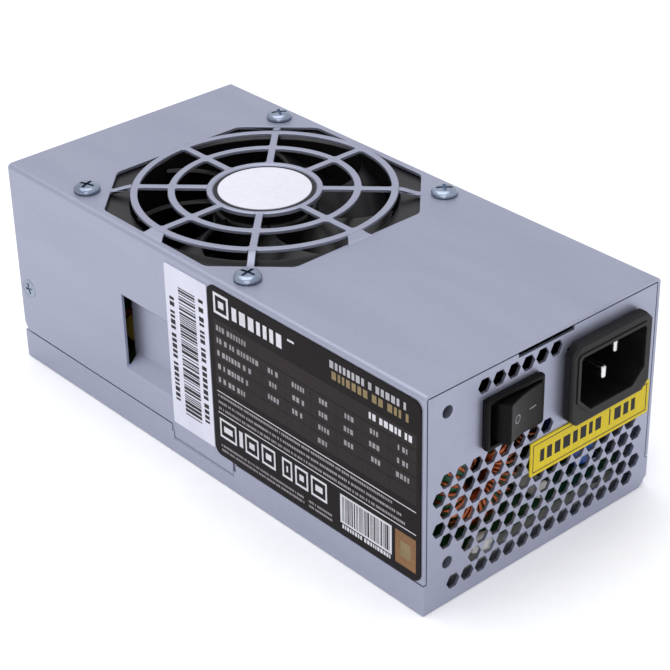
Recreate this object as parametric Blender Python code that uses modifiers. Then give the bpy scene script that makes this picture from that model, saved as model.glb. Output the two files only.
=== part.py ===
"""Compact desktop power supply unit: sheet-metal case, top fan, mains inlet, rocker switch and board.

Frame: metres, +Z up. The origin is the middle of the case's underside, +X runs along the case towards
the panel with the mains inlet and the switch, and -Y is the side that carries the rating label.
"""

import math

import bmesh
import bpy
from mathutils import Matrix, Vector

MM = 0.001

# ---------------------------------------------------------------- driving dimensions
CASE_LENGTH = 175.0 * MM
CASE_WIDTH = 85.0 * MM
CASE_HEIGHT = 65.0 * MM
SHEET = 1.0 * MM
FIT_GAP = 0.3 * MM          # between pieces that touch on the real unit
SEAM_GAP = 0.4 * MM         # open line between cover and chassis
FOLD_RADIUS = 1.5 * MM      # outside radius of the cover's long top edges
STRIP_HEIGHT = 9.2 * MM     # chassis side strip, flush with the cover above it
CORNER_RADIUS = 3.0 * MM    # rounded sheet corners at the case's ends
PANEL_CLIP = 3.0 * MM       # clipped lower corner of the inlet panel
FLANGE_WIDTH = 9.0 * MM     # folded flanges behind the two end walls

# ---------------------------------------------------------------- fan opening and grille
FAN_FROM_END = 66.3 * MM    # fan axis, measured from the cable end
FAN_SIZE = 80.0 * MM
FAN_DEPTH = 20.0 * MM
FAN_HOLE_EDGE = 4.25 * MM   # screw axis, measured in from the fan's sides
FAN_BORE_CLEARANCE = 1.8 * MM
OPENING_MARGIN = 0.5 * MM   # how far the fan reaches under the sheet round the opening
OPENING_CHAMFER = 17.0 * MM
GRILLE_RAISE = 1.6 * MM
GRILLE_BAR = 2.0 * MM
INNER_RING_SHARE = 0.4853   # place of the inner ring between the hub and the outer ring
OUTER_RING_MARGIN = 2.7 * MM
GRILLE_HUB_RADIUS = 16.4 * MM
BADGE_RADIUS = 13.4 * MM
BADGE_RIM_GAP = 0.9 * MM
BADGE_THICKNESS = 0.6 * MM
HUB_THICKNESS = 1.4 * MM
BRIDGE_WIDTH_INNER = 5.0 * MM
BRIDGE_WIDTH_OUTER = 9.7 * MM
SPOKES = 8

# ---------------------------------------------------------------- fan
ROTOR_HUB_RADIUS = 15.0 * MM
ROTOR_WALL = 1.2 * MM
ROTOR_TIP_CLEARANCE = 1.0 * MM
BLADES = 7
BLADE_THICKNESS = 1.3 * MM
FAN_FLANGE = 3.5 * MM
FAN_BASE = 2.0 * MM
BEARING_BORE = 1.85 * MM
SHAFT_RADIUS = 1.5 * MM
BEARING_RADIUS = 3.0 * MM
BEARING_TUBE_WALL = 1.0 * MM
MAGNET_THICKNESS = 1.2 * MM
AIR_GAP = 0.6 * MM
STATOR_POLES = 4
STATOR_SLOT = 2.0 * MM
STATOR_SLEEVE = 1.6 * MM

# ---------------------------------------------------------------- side recess and cover tongue
RECESS_FROM_END = 53.0 * MM
RECESS_LENGTH = 23.0 * MM
RECESS_BOTTOM = 18.9 * MM
RECESS_HEIGHT = 24.2 * MM
RECESS_DEPTH = 4.0 * MM
TONGUE_FROM_END = 74.0 * MM
TONGUE_LENGTH = 26.0 * MM
TONGUE_DROP = 3.7 * MM      # how far it reaches down past the top of the strip
TONGUE_SLOPE = 1.5 * MM

# ---------------------------------------------------------------- screws
COVER_SCREW_FROM_END = 4.4 * MM
COVER_SCREW_HEIGHT = 25.0 * MM
COVER_SCREW_HEAD = 3.0 * MM
COVER_SCREW_SHANK = 1.25 * MM
COVER_SCREW_LENGTH = 5.0 * MM
FAN_SCREW_HEAD = 3.8 * MM
FAN_SCREW_HEAD_HEIGHT = 1.8 * MM
FAN_SCREW_SHANK = 1.9 * MM
FAN_SCREW_LENGTH = 9.0 * MM
BOARD_SCREW_HEAD = 2.6 * MM
BOARD_SCREW_SHANK = 1.1 * MM

# ---------------------------------------------------------------- inlet panel
# distances across are from the -Y edge, and drops are from the top
VENT_FLAT = 4.1 * MM
VENT_PITCH = 5.08 * MM
VENT_ROW_PITCH = 4.55 * MM
VENT_FIRST_Y = 5.4 * MM
VENT_FIRST_DROP = 27.3 * MM
UPPER_VENT_Y = 20.4 * MM
UPPER_VENT_DROP = 5.4 * MM
UPPER_VENTS = 6
MOUNT_HOLE_RADIUS = 1.75 * MM
MOUNT_HOLE_COLLAR = 2.8 * MM
MOUNT_HOLES = ((7.8 * MM, 7.3 * MM), (8.3 * MM, 52.2 * MM))
PANEL_SLOT = (32.0 * MM, 52.2 * MM)
PANEL_SLOT_HEIGHT = 1.2 * MM

INLET_Y = 63.55 * MM
INLET_DROP = 17.45 * MM
INLET_FLANGE = (30.5 * MM, 24.0 * MM)
INLET_BODY = (27.0 * MM, 20.0 * MM)
INLET_CAVITY = (24.6 * MM, 16.6 * MM)
INLET_PROUD = 3.5 * MM
INLET_CORNER = 2.6 * MM
INLET_KEY_CHAMFER = 4.2 * MM
INLET_CAVITY_DEPTH = 17.0 * MM
INLET_BACK_WALL = 2.0 * MM
PIN_THICKNESS = 2.0 * MM
PIN_HEIGHT = 4.0 * MM
PIN_SPACING = 7.0 * MM
PIN_DROP = 15.5 * MM
EARTH_DROP = 19.5 * MM
PIN_BEHIND_PANEL = 1.3 * MM
EARTH_AHEAD_OF_PANEL = 1.0 * MM
PIN_TAIL = 6.0 * MM

SWITCH_Y = 29.7 * MM
SWITCH_DROP = 16.4 * MM
SWITCH_BEZEL = (20.6 * MM, 14.9 * MM)
SWITCH_BODY = (19.0 * MM, 13.4 * MM)
SWITCH_OPENING = (17.8 * MM, 12.0 * MM)
SWITCH_PROUD = 2.0 * MM
SWITCH_DEPTH = 15.5 * MM
SWITCH_BACK_WALL = 2.0 * MM
ROCKER_PIVOT_DEPTH = 4.5 * MM    # pivot behind the panel's face
ROCKER_TILT = math.radians(11.0)
ROCKER_FACE_HEIGHT = 8.0 * MM    # pivot to the middle of the dished face
ROCKER_DISH = 0.6 * MM
ROCKER_FACE_HALF = 7.0 * MM
ROCKER_WAIST_HALF = 7.8 * MM
ROCKER_HEEL = 2.0 * MM
ROCKER_KEEL_DEPTH = 3.2 * MM
ROCKER_KEEL_HALF = 1.5 * MM
ROCKER_PIN_RADIUS = 1.1 * MM
ROCKER_PIN_REACH = 0.4 * MM
TERMINAL_WIDTH = 4.8 * MM
TERMINAL_THICKNESS = 0.8 * MM
TERMINAL_SPACING = 5.0 * MM

# ---------------------------------------------------------------- labels
LABEL_THICKNESS = 0.2 * MM
LABEL_GAP = 0.2 * MM
RATING_LABEL_FROM_END = 93.4 * MM
RATING_LABEL_SIZE = (80.8 * MM, 53.2 * MM)
RATING_LABEL_DROP = 1.8 * MM
RATING_LABEL_CORNER = 2.5 * MM
BARCODE_LABEL_SIZE = (18.2 * MM, 50.8 * MM)
BARCODE_LABEL_DROP = 3.0 * MM
LABEL_SPACING = 0.3 * MM
STICKER_Y = 37.2 * MM
STICKER_SIZE = (45.7 * MM, 10.3 * MM)
STICKER_DROP = 30.0 * MM

# ---------------------------------------------------------------- board and parts on it
STANDOFF_HEIGHT = 4.7 * MM
STANDOFF_RADIUS = 2.9 * MM
BOARD_THICKNESS = 1.6 * MM
BOARD_SIDE_MARGIN = 4.5 * MM
BOARD_END_MARGIN = 5.5 * MM
BOARD_HOLE_INSET = 6.0 * MM
INSULATION_THICKNESS = 0.4 * MM
CHOKE_WINDING_GAP = 0.55      # open share of a ring winding, of the core's radius
FILTER_CHOKE = (10.0 * MM, 4.0 * MM, 1.3 * MM)     # core ring radius, core section radius, wire layer
FILTER_CHOKE_FROM_PANEL = 12.5 * MM
FILTER_CHOKE_Y = 29.5 * MM
FILTER_CHOKE_LIFT = 15.8 * MM
LINE_CHOKE = (7.5 * MM, 3.0 * MM, 1.0 * MM)
LINE_CHOKE_FROM_PANEL = 31.0 * MM
LINE_CHOKE_Y = 61.5 * MM
LINE_CHOKE_LIFT = 12.2 * MM
OUTPUT_CHOKE = (8.0 * MM, 3.4 * MM, 1.3 * MM)
OUTPUT_CHOKE_FROM_END = 26.0 * MM
OUTPUT_CHOKE_Y = 28.5 * MM
OUTPUT_CHOKE_LIFT = 5.2 * MM
DISC_CAPACITOR_RADIUS = 5.0 * MM
DISC_CAPACITOR_THICKNESS = 3.4 * MM
DISC_CAPACITORS_FROM_PANEL = (9.5 * MM, 17.0 * MM)
DISC_CAPACITOR_Y = 68.5 * MM
X_CAPACITOR = (18.0 * MM, 6.8 * MM, 15.0 * MM)
X_CAPACITOR_FROM_PANEL = 46.0 * MM
X_CAPACITOR_Y = 72.7 * MM
FUSE_RADIUS = 2.6 * MM
FUSE_LENGTH = 15.0 * MM
FUSE_FROM_PANEL = 7.0 * MM
FUSE_Y = 50.5 * MM
BRIDGE = (22.0 * MM, 3.6 * MM, 19.0 * MM)
BRIDGE_FROM_PANEL = 26.0 * MM
BRIDGE_Y = 37.5 * MM
BULK_CAPACITOR = (11.5 * MM, 32.0 * MM)
BULK_CAPACITOR_FROM_PANEL = 56.0 * MM
BULK_CAPACITOR_Y = 60.5 * MM
OUTPUT_CAPACITOR = (5.0 * MM, 22.0 * MM)
OUTPUT_CAPACITORS_FROM_END = 9.0 * MM
OUTPUT_CAPACITORS_Y = (51.5 * MM, 37.5 * MM)
HEATSINK_HEIGHT = 31.0 * MM
HEATSINK_PLATE = 3.0 * MM
HEATSINK_FIN = 1.4 * MM
HEATSINK_FIN_REACH = 7.0 * MM
HEATSINK_FIN_PITCH = 4.2 * MM
HEATSINK_FINS = 4
PRIMARY_HEATSINK = (56.0 * MM, 36.0 * MM, 21.5 * MM)      # length, distance from the panel, Y
SECONDARY_HEATSINK = (44.0 * MM, 16.0 * MM, 67.5 * MM)    # length, distance from the board's end, Y
TRANSISTOR_BODY = (10.0 * MM, 4.4 * MM, 9.0 * MM)
TRANSISTOR_LEG = 6.0 * MM
TRANSISTOR_TAB = 6.0 * MM
LEG_PITCH = 2.54 * MM
TRANSFORMER = (34.0 * MM, 13.0 * MM, 24.0 * MM)
TRANSFORMER_LEG = 5.0 * MM
TRANSFORMER_BEYOND_FAN = 2.0 * MM
TRANSFORMER_Y = 45.5 * MM
TRANSFORMER_LIFT = 3.0 * MM
GROMMET_BORE = 8.0 * MM
GROMMET_WALL = 2.0 * MM
GROMMET_FLANGE = 12.5 * MM
GROMMET_FLANGE_THICKNESS = 1.6 * MM
GROMMET_HEIGHT = 34.0 * MM
WIRE_RADIUS = 1.2 * MM

# ---------------------------------------------------------------- values that follow from the driving ones
END_X = CASE_LENGTH / 2
SIDE_Y = CASE_WIDTH / 2
PANEL_HALF = SIDE_Y - SHEET - FIT_GAP            # half width of the end walls, inside the cover
WALL_TOP = CASE_HEIGHT - SHEET - FIT_GAP         # top of the end walls, under the cover
FAN_X = FAN_FROM_END - END_X
FAN_TOP = CASE_HEIGHT - SHEET - FIT_GAP
FAN_BOTTOM = FAN_TOP - FAN_DEPTH
FAN_BORE = FAN_SIZE / 2 - FAN_BORE_CLEARANCE
FAN_HOLE_PITCH = FAN_SIZE - 2 * FAN_HOLE_EDGE
FAN_OPENING = FAN_SIZE - 2 * OPENING_MARGIN
OUTER_RING_RADIUS = FAN_OPENING / 2 - OUTER_RING_MARGIN
INNER_RING_RADIUS = GRILLE_HUB_RADIUS + INNER_RING_SHARE * (OUTER_RING_RADIUS - GRILLE_HUB_RADIUS)
GRILLE_TOP = CASE_HEIGHT + GRILLE_RAISE
BOARD_BOTTOM = SHEET + STANDOFF_HEIGHT + FIT_GAP
BOARD_TOP = BOARD_BOTTOM + BOARD_THICKNESS
BOARD_HALF_X = END_X - BOARD_END_MARGIN
BOARD_HALF_Y = SIDE_Y - BOARD_SIDE_MARGIN
SEAT = BOARD_TOP + FIT_GAP                       # where the parts on the board stand


def panel_y(distance):
    """Y of a place given from the -Y edge of the inlet panel."""
    return distance - SIDE_Y


def below_top(distance):
    """Z of a place given downwards from the top of the case."""
    return CASE_HEIGHT - distance


# ---------------------------------------------------------------- helpers
def clear_scene():
    for obj in list(bpy.data.objects):
        bpy.data.objects.remove(obj, do_unlink=True)


def make_collection(name):
    collection = bpy.data.collections.new(name)
    bpy.context.scene.collection.children.link(collection)
    return collection


def move_to(obj, collection):
    for owner in list(obj.users_collection):
        owner.objects.unlink(obj)
    collection.objects.link(obj)


def material(name, red, green, blue, roughness, metallic=0.0):
    surface = bpy.data.materials.new(name)
    surface.use_nodes = True
    shader = surface.node_tree.nodes["Principled BSDF"]
    shader.inputs["Base Color"].default_value = (red, green, blue, 1.0)
    shader.inputs["Roughness"].default_value = roughness
    shader.inputs["Metallic"].default_value = metallic
    surface.diffuse_color = (red, green, blue, 1.0)
    return surface


def finish(obj, name, surface, smooth=False):
    """Name a finished piece, give it its material and put it with the unit."""
    obj.name = name
    obj.data.name = name
    obj.data.materials.clear()
    obj.data.materials.append(surface)
    if smooth:
        obj.data.shade_smooth()
        obj.data.set_sharp_from_angle(angle=math.radians(35.0))
    move_to(obj, UNIT)
    return obj


def box(low, high):
    centre = [(a + b) / 2 for a, b in zip(low, high)]
    size = [b - a for a, b in zip(low, high)]
    bpy.ops.mesh.primitive_cube_add(size=1.0, location=centre)
    obj = bpy.context.object
    obj.data.transform(Matrix.Diagonal((*size, 1.0)))
    return obj


def rod(radius, start, end, segments=24, end_radius=None):
    """A cylinder, or a cone where end_radius is given, from one point to another."""
    start, end = Vector(start), Vector(end)
    turn = (end - start).to_track_quat("Z", "Y").to_euler()
    bpy.ops.mesh.primitive_cone_add(
        vertices=segments,
        radius1=radius,
        radius2=radius if end_radius is None else end_radius,
        depth=(end - start).length,
        location=(start + end) / 2,
        rotation=turn,
    )
    return bpy.context.object


def as_mesh(obj):
    """Turn an object with modifiers, or a curve, into a plain mesh object with closed seams."""
    evaluated = obj.evaluated_get(bpy.context.evaluated_depsgraph_get())
    mesh = bpy.data.meshes.new_from_object(evaluated)
    solid = bpy.data.objects.new(obj.name, mesh)
    bpy.context.scene.collection.objects.link(solid)
    solid.matrix_world = obj.matrix_world
    bpy.data.objects.remove(obj, do_unlink=True)
    weld(mesh)
    return solid


def weld(mesh):
    shape = bmesh.new()
    shape.from_mesh(mesh)
    bmesh.ops.remove_doubles(shape, verts=shape.verts, dist=0.002 * MM)
    bmesh.ops.recalc_face_normals(shape, faces=shape.faces)
    shape.to_mesh(mesh)
    shape.free()


ALONG = {
    "X": Matrix(((0, 0, 1, 0), (1, 0, 0, 0), (0, 1, 0, 0), (0, 0, 0, 1))),
    "Y": Matrix(((1, 0, 0, 0), (0, 0, -1, 0), (0, 1, 0, 0), (0, 0, 0, 1))),
    "Z": Matrix.Identity(4),
}


def prism(outlines, low, high, axis):
    """A flat outline, with any further outlines as holes, made thick from low to high along an axis.

    Outline points are (Y, Z) along X, (X, Z) along Y and (X, Y) along Z.
    """
    curve = bpy.data.curves.new("outline", "CURVE")
    curve.dimensions = "2D"
    curve.fill_mode = "BOTH"
    curve.extrude = (high - low) / 2
    for outline in outlines:
        spline = curve.splines.new("POLY")
        spline.points.add(len(outline) - 1)
        for point, (across, up) in zip(spline.points, outline):
            point.co = (across, up, 0.0, 1.0)
        spline.use_cyclic_u = True
    flat = bpy.data.objects.new("outline", curve)
    bpy.context.scene.collection.objects.link(flat)
    offset = {"X": (1, 0, 0), "Y": (0, 1, 0), "Z": (0, 0, 1)}[axis]
    flat.matrix_world = Matrix.Translation(Vector(offset) * (low + high) / 2) @ ALONG[axis]
    bpy.context.view_layer.update()
    solid = as_mesh(flat)
    solid.data.transform(solid.matrix_world)
    solid.matrix_world = Matrix.Identity(4)
    return solid


def turned(profile, steps=32, location=(0, 0, 0)):
    """A turned shape about Z: profile points are (radius, Z), down the outer side."""
    mesh = bpy.data.meshes.new("profile")
    shape = bmesh.new()
    points = [shape.verts.new((radius, 0.0, height)) for radius, height in profile]
    closed = profile[0][0] > 0.0 or profile[-1][0] > 0.0
    for first, second in zip(points, points[1:]):
        shape.edges.new((first, second))
    if closed:
        shape.edges.new((points[-1], points[0]))
    shape.to_mesh(mesh)
    shape.free()
    obj = bpy.data.objects.new("turned", mesh)
    bpy.context.scene.collection.objects.link(obj)
    obj.location = location
    screw = obj.modifiers.new("Turn", "SCREW")
    screw.steps = steps
    screw.render_steps = steps
    screw.use_merge_vertices = True
    screw.merge_threshold = 0.005 * MM
    bpy.context.view_layer.update()
    solid = as_mesh(obj)
    solid.data.transform(solid.matrix_world)
    solid.matrix_world = Matrix.Identity(4)
    return solid


def combine(obj, other, operation):
    """Join, cut or trim a piece with another shape, which stays among the cutters."""
    modifier = obj.modifiers.new(operation.title(), "BOOLEAN")
    modifier.operation = operation
    modifier.solver = "EXACT"
    modifier.object = other
    other.hide_render = True
    other.display_type = "WIRE"
    move_to(other, CUTTERS)
    return obj


def cut(obj, *others):
    for other in others:
        combine(obj, other, "DIFFERENCE")
    return obj


def join(obj, *others):
    for other in others:
        combine(obj, other, "UNION")
    return obj


def bevel(obj, width, segments=1, angle=30.0):
    modifier = obj.modifiers.new("Bevel", "BEVEL")
    modifier.width = width
    modifier.segments = segments
    modifier.limit_method = "ANGLE"
    modifier.angle_limit = math.radians(angle)
    return obj


def baked(obj):
    """Put an object's place into its mesh, so that it can be turned about the origin."""
    bpy.context.view_layer.update()
    obj.data.transform(obj.matrix_world)
    obj.matrix_world = Matrix.Identity(4)
    return obj


def merged(objects):
    """Several separate shapes as one mesh object, to be used as one cutter."""
    shape = bmesh.new()
    for obj in objects:
        part = obj.data.copy()
        part.transform(obj.matrix_basis)
        shape.from_mesh(part)
        bpy.data.meshes.remove(part)
    mesh = bpy.data.meshes.new("merged")
    shape.to_mesh(mesh)
    shape.free()
    for obj in objects:
        bpy.data.objects.remove(obj, do_unlink=True)
    group = bpy.data.objects.new("merged", mesh)
    bpy.context.scene.collection.objects.link(group)
    return group


def arc(centre_x, centre_y, radius, start, end, steps):
    """Points on an arc, angles in degrees."""
    points = []
    for step in range(steps + 1):
        angle = math.radians(start + (end - start) * step / steps)
        points.append((centre_x + radius * math.cos(angle), centre_y + radius * math.sin(angle)))
    return points


def rounded_rectangle(low_x, low_y, high_x, high_y, radius, steps=4):
    corners = ((high_x, high_y, 0), (low_x, high_y, 90), (low_x, low_y, 180), (high_x, low_y, 270))
    outline = []
    for x, y, start in corners:
        centre_x = x - radius if x == high_x else x + radius
        centre_y = y - radius if y == high_y else y + radius
        outline += arc(centre_x, centre_y, radius, start, start + 90, steps)
    return outline


def chamfered_rectangle(centre, size, chamfer, top_chamfer=None):
    """A rectangle with cut corners; the two upper corners may be cut differently."""
    x, y = centre
    w, h = size[0] / 2, size[1] / 2
    upper = chamfer if top_chamfer is None else top_chamfer
    return [
        (x - w + chamfer, y - h),
        (x + w - chamfer, y - h),
        (x + w, y - h + chamfer),
        (x + w, y + h - upper),
        (x + w - upper, y + h),
        (x - w + upper, y + h),
        (x - w, y + h - upper),
        (x - w, y - h + chamfer),
    ]


def tapered_box(near, far, direction):
    """A six-sided solid between two rectangles, each given as (low corner, high corner)."""
    obj = box((-0.5, -0.5, -0.5), (0.5, 0.5, 0.5))
    axis = "XYZ".index(direction)
    for vertex in obj.data.vertices:
        low, high = near if vertex.co[axis] < 0 else far
        vertex.co = [high[i] if vertex.co[i] > 0 else low[i] for i in range(3)]
    return obj


# ---------------------------------------------------------------- case
def hexagon_cutters(places, axis_start, axis_end):
    """One cutter of hexagonal prisms along X, points up, at (Y, Z) places."""
    radius = VENT_FLAT / math.sqrt(3.0)
    shape = bmesh.new()
    turn = Matrix.Rotation(math.radians(90.0), 4, "Y") @ Matrix.Rotation(math.radians(90.0), 4, "Z")
    spin = Matrix.Rotation(math.radians(30.0), 4, "Z")
    for y, z in places:
        centre = Matrix.Translation(((axis_start + axis_end) / 2, y, z))
        bmesh.ops.create_cone(
            shape,
            cap_ends=True,
            segments=6,
            radius1=radius,
            radius2=radius,
            depth=axis_end - axis_start,
            matrix=centre @ turn @ spin,
        )
    mesh = bpy.data.meshes.new("vents")
    shape.to_mesh(mesh)
    shape.free()
    obj = bpy.data.objects.new("vents", mesh)
    bpy.context.scene.collection.objects.link(obj)
    return obj


def vent_places():
    """Centres of the hexagonal vents: a field with staggered rows, and one short row above the switch."""
    row_spans = ((1, 8), (0, 7), (1, 7), (0, 15), (1, 15), (2, 15), (3, 15), (1, 15))
    places = []
    for row, (first, count_end) in enumerate(row_spans):
        shift = VENT_PITCH / 2 if row % 2 == 0 else 0.0
        first_column = first - 1 if row % 2 == 0 else first
        for column in range(first_column, count_end):
            y = VENT_FIRST_Y + shift + column * VENT_PITCH
            places.append((panel_y(y), below_top(VENT_FIRST_DROP + row * VENT_ROW_PITCH)))
    for column in range(UPPER_VENTS):
        places.append((panel_y(UPPER_VENT_Y + column * VENT_PITCH), below_top(UPPER_VENT_DROP)))
    return places


def board_hole_places():
    x = BOARD_HALF_X - BOARD_HOLE_INSET
    y = BOARD_HALF_Y - BOARD_HOLE_INSET
    return [(sx * x, sy * y) for sx in (-1, 1) for sy in (-1, 1)]


def corner_cutter(x, z, radius, toward_x, toward_z):
    """Removes a sharp sheet corner at (x, z) and leaves a round one, across the whole width."""
    centre_x = x + toward_x * radius
    centre_z = z + toward_z * radius
    beyond = 1.0 * MM
    outline = [(x - toward_x * beyond, z - toward_z * beyond), (centre_x, z - toward_z * beyond)]
    for step in range(6):
        angle = math.radians(90.0 * step / 5)
        across = centre_x - toward_x * radius * math.sin(angle)
        up = centre_z - toward_z * radius * math.cos(angle)
        outline.append((across, up))
    outline.append((x - toward_x * beyond, centre_z))
    return prism([outline], -SIDE_Y - beyond, SIDE_Y + beyond, "Y")


def tongue_span():
    start = TONGUE_FROM_END - END_X
    return start, start + TONGUE_LENGTH


def make_base_chassis():
    """Floor, both end walls and the low side strips, folded from one sheet."""
    beyond = 2.0 * MM
    chassis = box((-END_X, -SIDE_Y, 0.0), (END_X, SIDE_Y, WALL_TOP))
    hollow = box(
        (-END_X + SHEET, -SIDE_Y + SHEET, SHEET), (END_X - SHEET, SIDE_Y - SHEET, WALL_TOP + beyond)
    )
    cut(chassis, hollow)
    for side in (-1, 1):
        outer = sorted((side * PANEL_HALF, side * (SIDE_Y + beyond)))
        above = box(
            (-END_X - beyond, outer[0], STRIP_HEIGHT), (END_X + beyond, outer[1], WALL_TOP + beyond)
        )
        cut(chassis, above)

    tongue_start, tongue_end = tongue_span()
    backing_margin = 3.0 * MM
    back_face = PANEL_HALF
    for side in (-1, 1):
        wall = sorted((side * (back_face - SHEET), side * (SIDE_Y - SHEET / 2)))
        backing = box(
            (tongue_start - backing_margin, wall[0], SHEET / 2),
            (tongue_end + backing_margin, wall[1], STRIP_HEIGHT),
        )
        join(chassis, backing)
        pocket_floor = STRIP_HEIGHT - TONGUE_DROP - SEAM_GAP
        outline = [
            (side * (SIDE_Y + beyond), pocket_floor - TONGUE_SLOPE * 1.6),
            (side * back_face, pocket_floor),
            (side * back_face, STRIP_HEIGHT + beyond),
            (side * (SIDE_Y + beyond), STRIP_HEIGHT + beyond),
        ]
        cut(chassis, prism([outline], tongue_start - FIT_GAP, tongue_end + FIT_GAP, "X"))

    for end in (-1, 1):
        for side in (-1, 1):
            near = sorted((end * (END_X - SHEET / 2), end * (END_X - FLANGE_WIDTH)))
            across = sorted((side * PANEL_HALF, side * (PANEL_HALF - SHEET)))
            flange = box(
                (near[0], across[0], STRIP_HEIGHT + SHEET), (near[1], across[1], WALL_TOP - 3 * SHEET)
            )
            join(chassis, flange)
            if end < 0:
                hole_x = COVER_SCREW_FROM_END - END_X
                hole = rod(
                    COVER_SCREW_SHANK + FIT_GAP,
                    (hole_x, across[0] - beyond, COVER_SCREW_HEIGHT),
                    (hole_x, across[1] + beyond, COVER_SCREW_HEIGHT),
                    16,
                )
                cut(chassis, hole)

    inner = END_X - SHEET
    collars = []
    holes = []
    for y, drop in MOUNT_HOLES:
        collar_depth = 1.6 * MM
        collars.append(
            rod(MOUNT_HOLE_COLLAR, (inner - collar_depth, panel_y(y), below_top(drop)),
                (inner + SHEET / 2, panel_y(y), below_top(drop)), 20)
        )
        holes.append(
            rod(MOUNT_HOLE_RADIUS, (inner - beyond, panel_y(y), below_top(drop)),
                (END_X + beyond, panel_y(y), below_top(drop)), 20)
        )
    join(chassis, merged(collars))
    cut(chassis, merged(holes))

    cut(chassis, hexagon_cutters(vent_places(), inner - beyond, END_X + beyond))
    for centre, size in (
        ((panel_y(INLET_Y), below_top(INLET_DROP)), INLET_BODY),
        ((panel_y(SWITCH_Y), below_top(SWITCH_DROP)), SWITCH_BODY),
    ):
        half = [side / 2 + FIT_GAP for side in size]
        opening = box(
            (inner - beyond, centre[0] - half[0], centre[1] - half[1]),
            (END_X + beyond, centre[0] + half[0], centre[1] + half[1]),
        )
        cut(chassis, opening)
    slot = box(
        (inner - beyond, panel_y(PANEL_SLOT[0]), WALL_TOP - PANEL_SLOT_HEIGHT),
        (END_X + beyond, panel_y(PANEL_SLOT[1]), WALL_TOP + beyond),
    )
    cut(chassis, slot)
    clip = PANEL_CLIP
    corner = [
        (SIDE_Y - clip, -beyond),
        (SIDE_Y + beyond, -beyond),
        (SIDE_Y + beyond, clip),
        (SIDE_Y, clip),
        (SIDE_Y - clip, 0.0),
    ]
    cut(chassis, prism([corner], inner + 0.01 * MM, END_X + beyond, "X"))

    grommet_hole = rod(
        GROMMET_BORE + GROMMET_WALL + FIT_GAP,
        (-END_X - beyond, 0.0, GROMMET_HEIGHT),
        (-END_X + SHEET + beyond, 0.0, GROMMET_HEIGHT),
        24,
    )
    cut(chassis, grommet_hole)

    posts = []
    taps = []
    for x, y in board_hole_places():
        posts.append(rod(STANDOFF_RADIUS, (x, y, SHEET / 2), (x, y, BOARD_BOTTOM - FIT_GAP), 10))
        taps.append(rod(BOARD_SCREW_SHANK + FIT_GAP, (x, y, SHEET), (x, y, BOARD_BOTTOM + beyond), 8))
    join(chassis, merged(posts))
    cut(chassis, merged(taps))
    cut(chassis, slot_relief())
    return finish(chassis, "base_chassis", STEEL)


def slot_relief():
    """Small relief notches at the ends of the -Y strip's tongue pocket."""
    tongue_start, tongue_end = tongue_span()
    notch = 1.2 * MM
    depth = 2.4 * MM
    notches = []
    for x in (tongue_start - notch, tongue_end + FIT_GAP - 0.1 * MM):
        low = (x, -SIDE_Y - notch, STRIP_HEIGHT - depth)
        high = (x + notch, -SIDE_Y + SHEET / 2, STRIP_HEIGHT + notch)
        notches.append(box(low, high))
    return merged(notches)


def cover_profile():
    """Cross-section of the cover at its tongues, in Y and Z: an upturned channel with rounded folds."""
    skirt = STRIP_HEIGHT - TONGUE_DROP
    inner_radius = FOLD_RADIUS - SHEET
    top = CASE_HEIGHT
    centre_y = SIDE_Y - FOLD_RADIUS
    centre_z = top - FOLD_RADIUS
    outline = [(SIDE_Y, skirt)]
    outline += arc(centre_y, centre_z, FOLD_RADIUS, 0, 90, 5)
    outline += arc(-centre_y, centre_z, FOLD_RADIUS, 90, 180, 5)
    outline += [(-SIDE_Y, skirt), (-SIDE_Y + SHEET, skirt)]
    outline += arc(-centre_y, centre_z, inner_radius, 180, 90, 2)
    outline += arc(centre_y, centre_z, inner_radius, 90, 0, 2)
    outline.append((SIDE_Y - SHEET, skirt))
    return outline


def ring(radius, low, high, segments):
    inner = radius - GRILLE_BAR / 2
    outer = radius + GRILLE_BAR / 2
    profile = [(inner, high), (outer, high), (outer, low), (inner, low)]
    return turned(profile, segments, (FAN_X, 0.0, 0.0))


def grille_pieces():
    """Hub disc, two rings, eight spokes and the ramps that carry them, all raised above the cover."""
    high = GRILLE_TOP
    low = GRILLE_TOP - SHEET
    recess = BADGE_RADIUS + BADGE_RIM_GAP
    hub_profile = [
        (0.0, high - BADGE_THICKNESS),
        (recess, high - BADGE_THICKNESS),
        (recess, high),
        (GRILLE_HUB_RADIUS, high),
        (GRILLE_HUB_RADIUS, high - HUB_THICKNESS),
        (0.0, high - HUB_THICKNESS),
    ]
    pieces = [turned(hub_profile, 32, (FAN_X, 0.0, 0.0))]
    pieces.append(ring(INNER_RING_RADIUS, low, high, 32))
    pieces.append(ring(OUTER_RING_RADIUS, low, high, 40))
    corner_reach = math.hypot(1.0, 1.0) * (FAN_OPENING - OPENING_CHAMFER) / 2
    edge_reach = FAN_OPENING / 2
    landing = 1.2 * MM
    for index in range(SPOKES):
        turn = Matrix.Translation((FAN_X, 0.0, 0.0)) @ Matrix.Rotation(2 * math.pi * index / SPOKES, 4, "Z")
        spoke = box(
            (GRILLE_HUB_RADIUS - GRILLE_BAR / 2, -GRILLE_BAR / 2, low),
            (OUTER_RING_RADIUS, GRILLE_BAR / 2, high),
        )
        diagonal = index % 2 == 1
        reach = (corner_reach if diagonal else edge_reach) + landing
        start_half = (GRILLE_BAR if diagonal else BRIDGE_WIDTH_INNER) / 2
        end_half = (GRILLE_BAR if diagonal else BRIDGE_WIDTH_OUTER) / 2
        start = OUTER_RING_RADIUS + GRILLE_BAR / 4
        ramp = tapered_box(
            ((start, -start_half, low), (start, start_half, high)),
            ((reach, -end_half, CASE_HEIGHT - SHEET), (reach, end_half, CASE_HEIGHT)),
            "X",
        )
        for piece in (spoke, ramp):
            baked(piece).data.transform(turn)
            pieces.append(piece)
    return pieces


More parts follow.
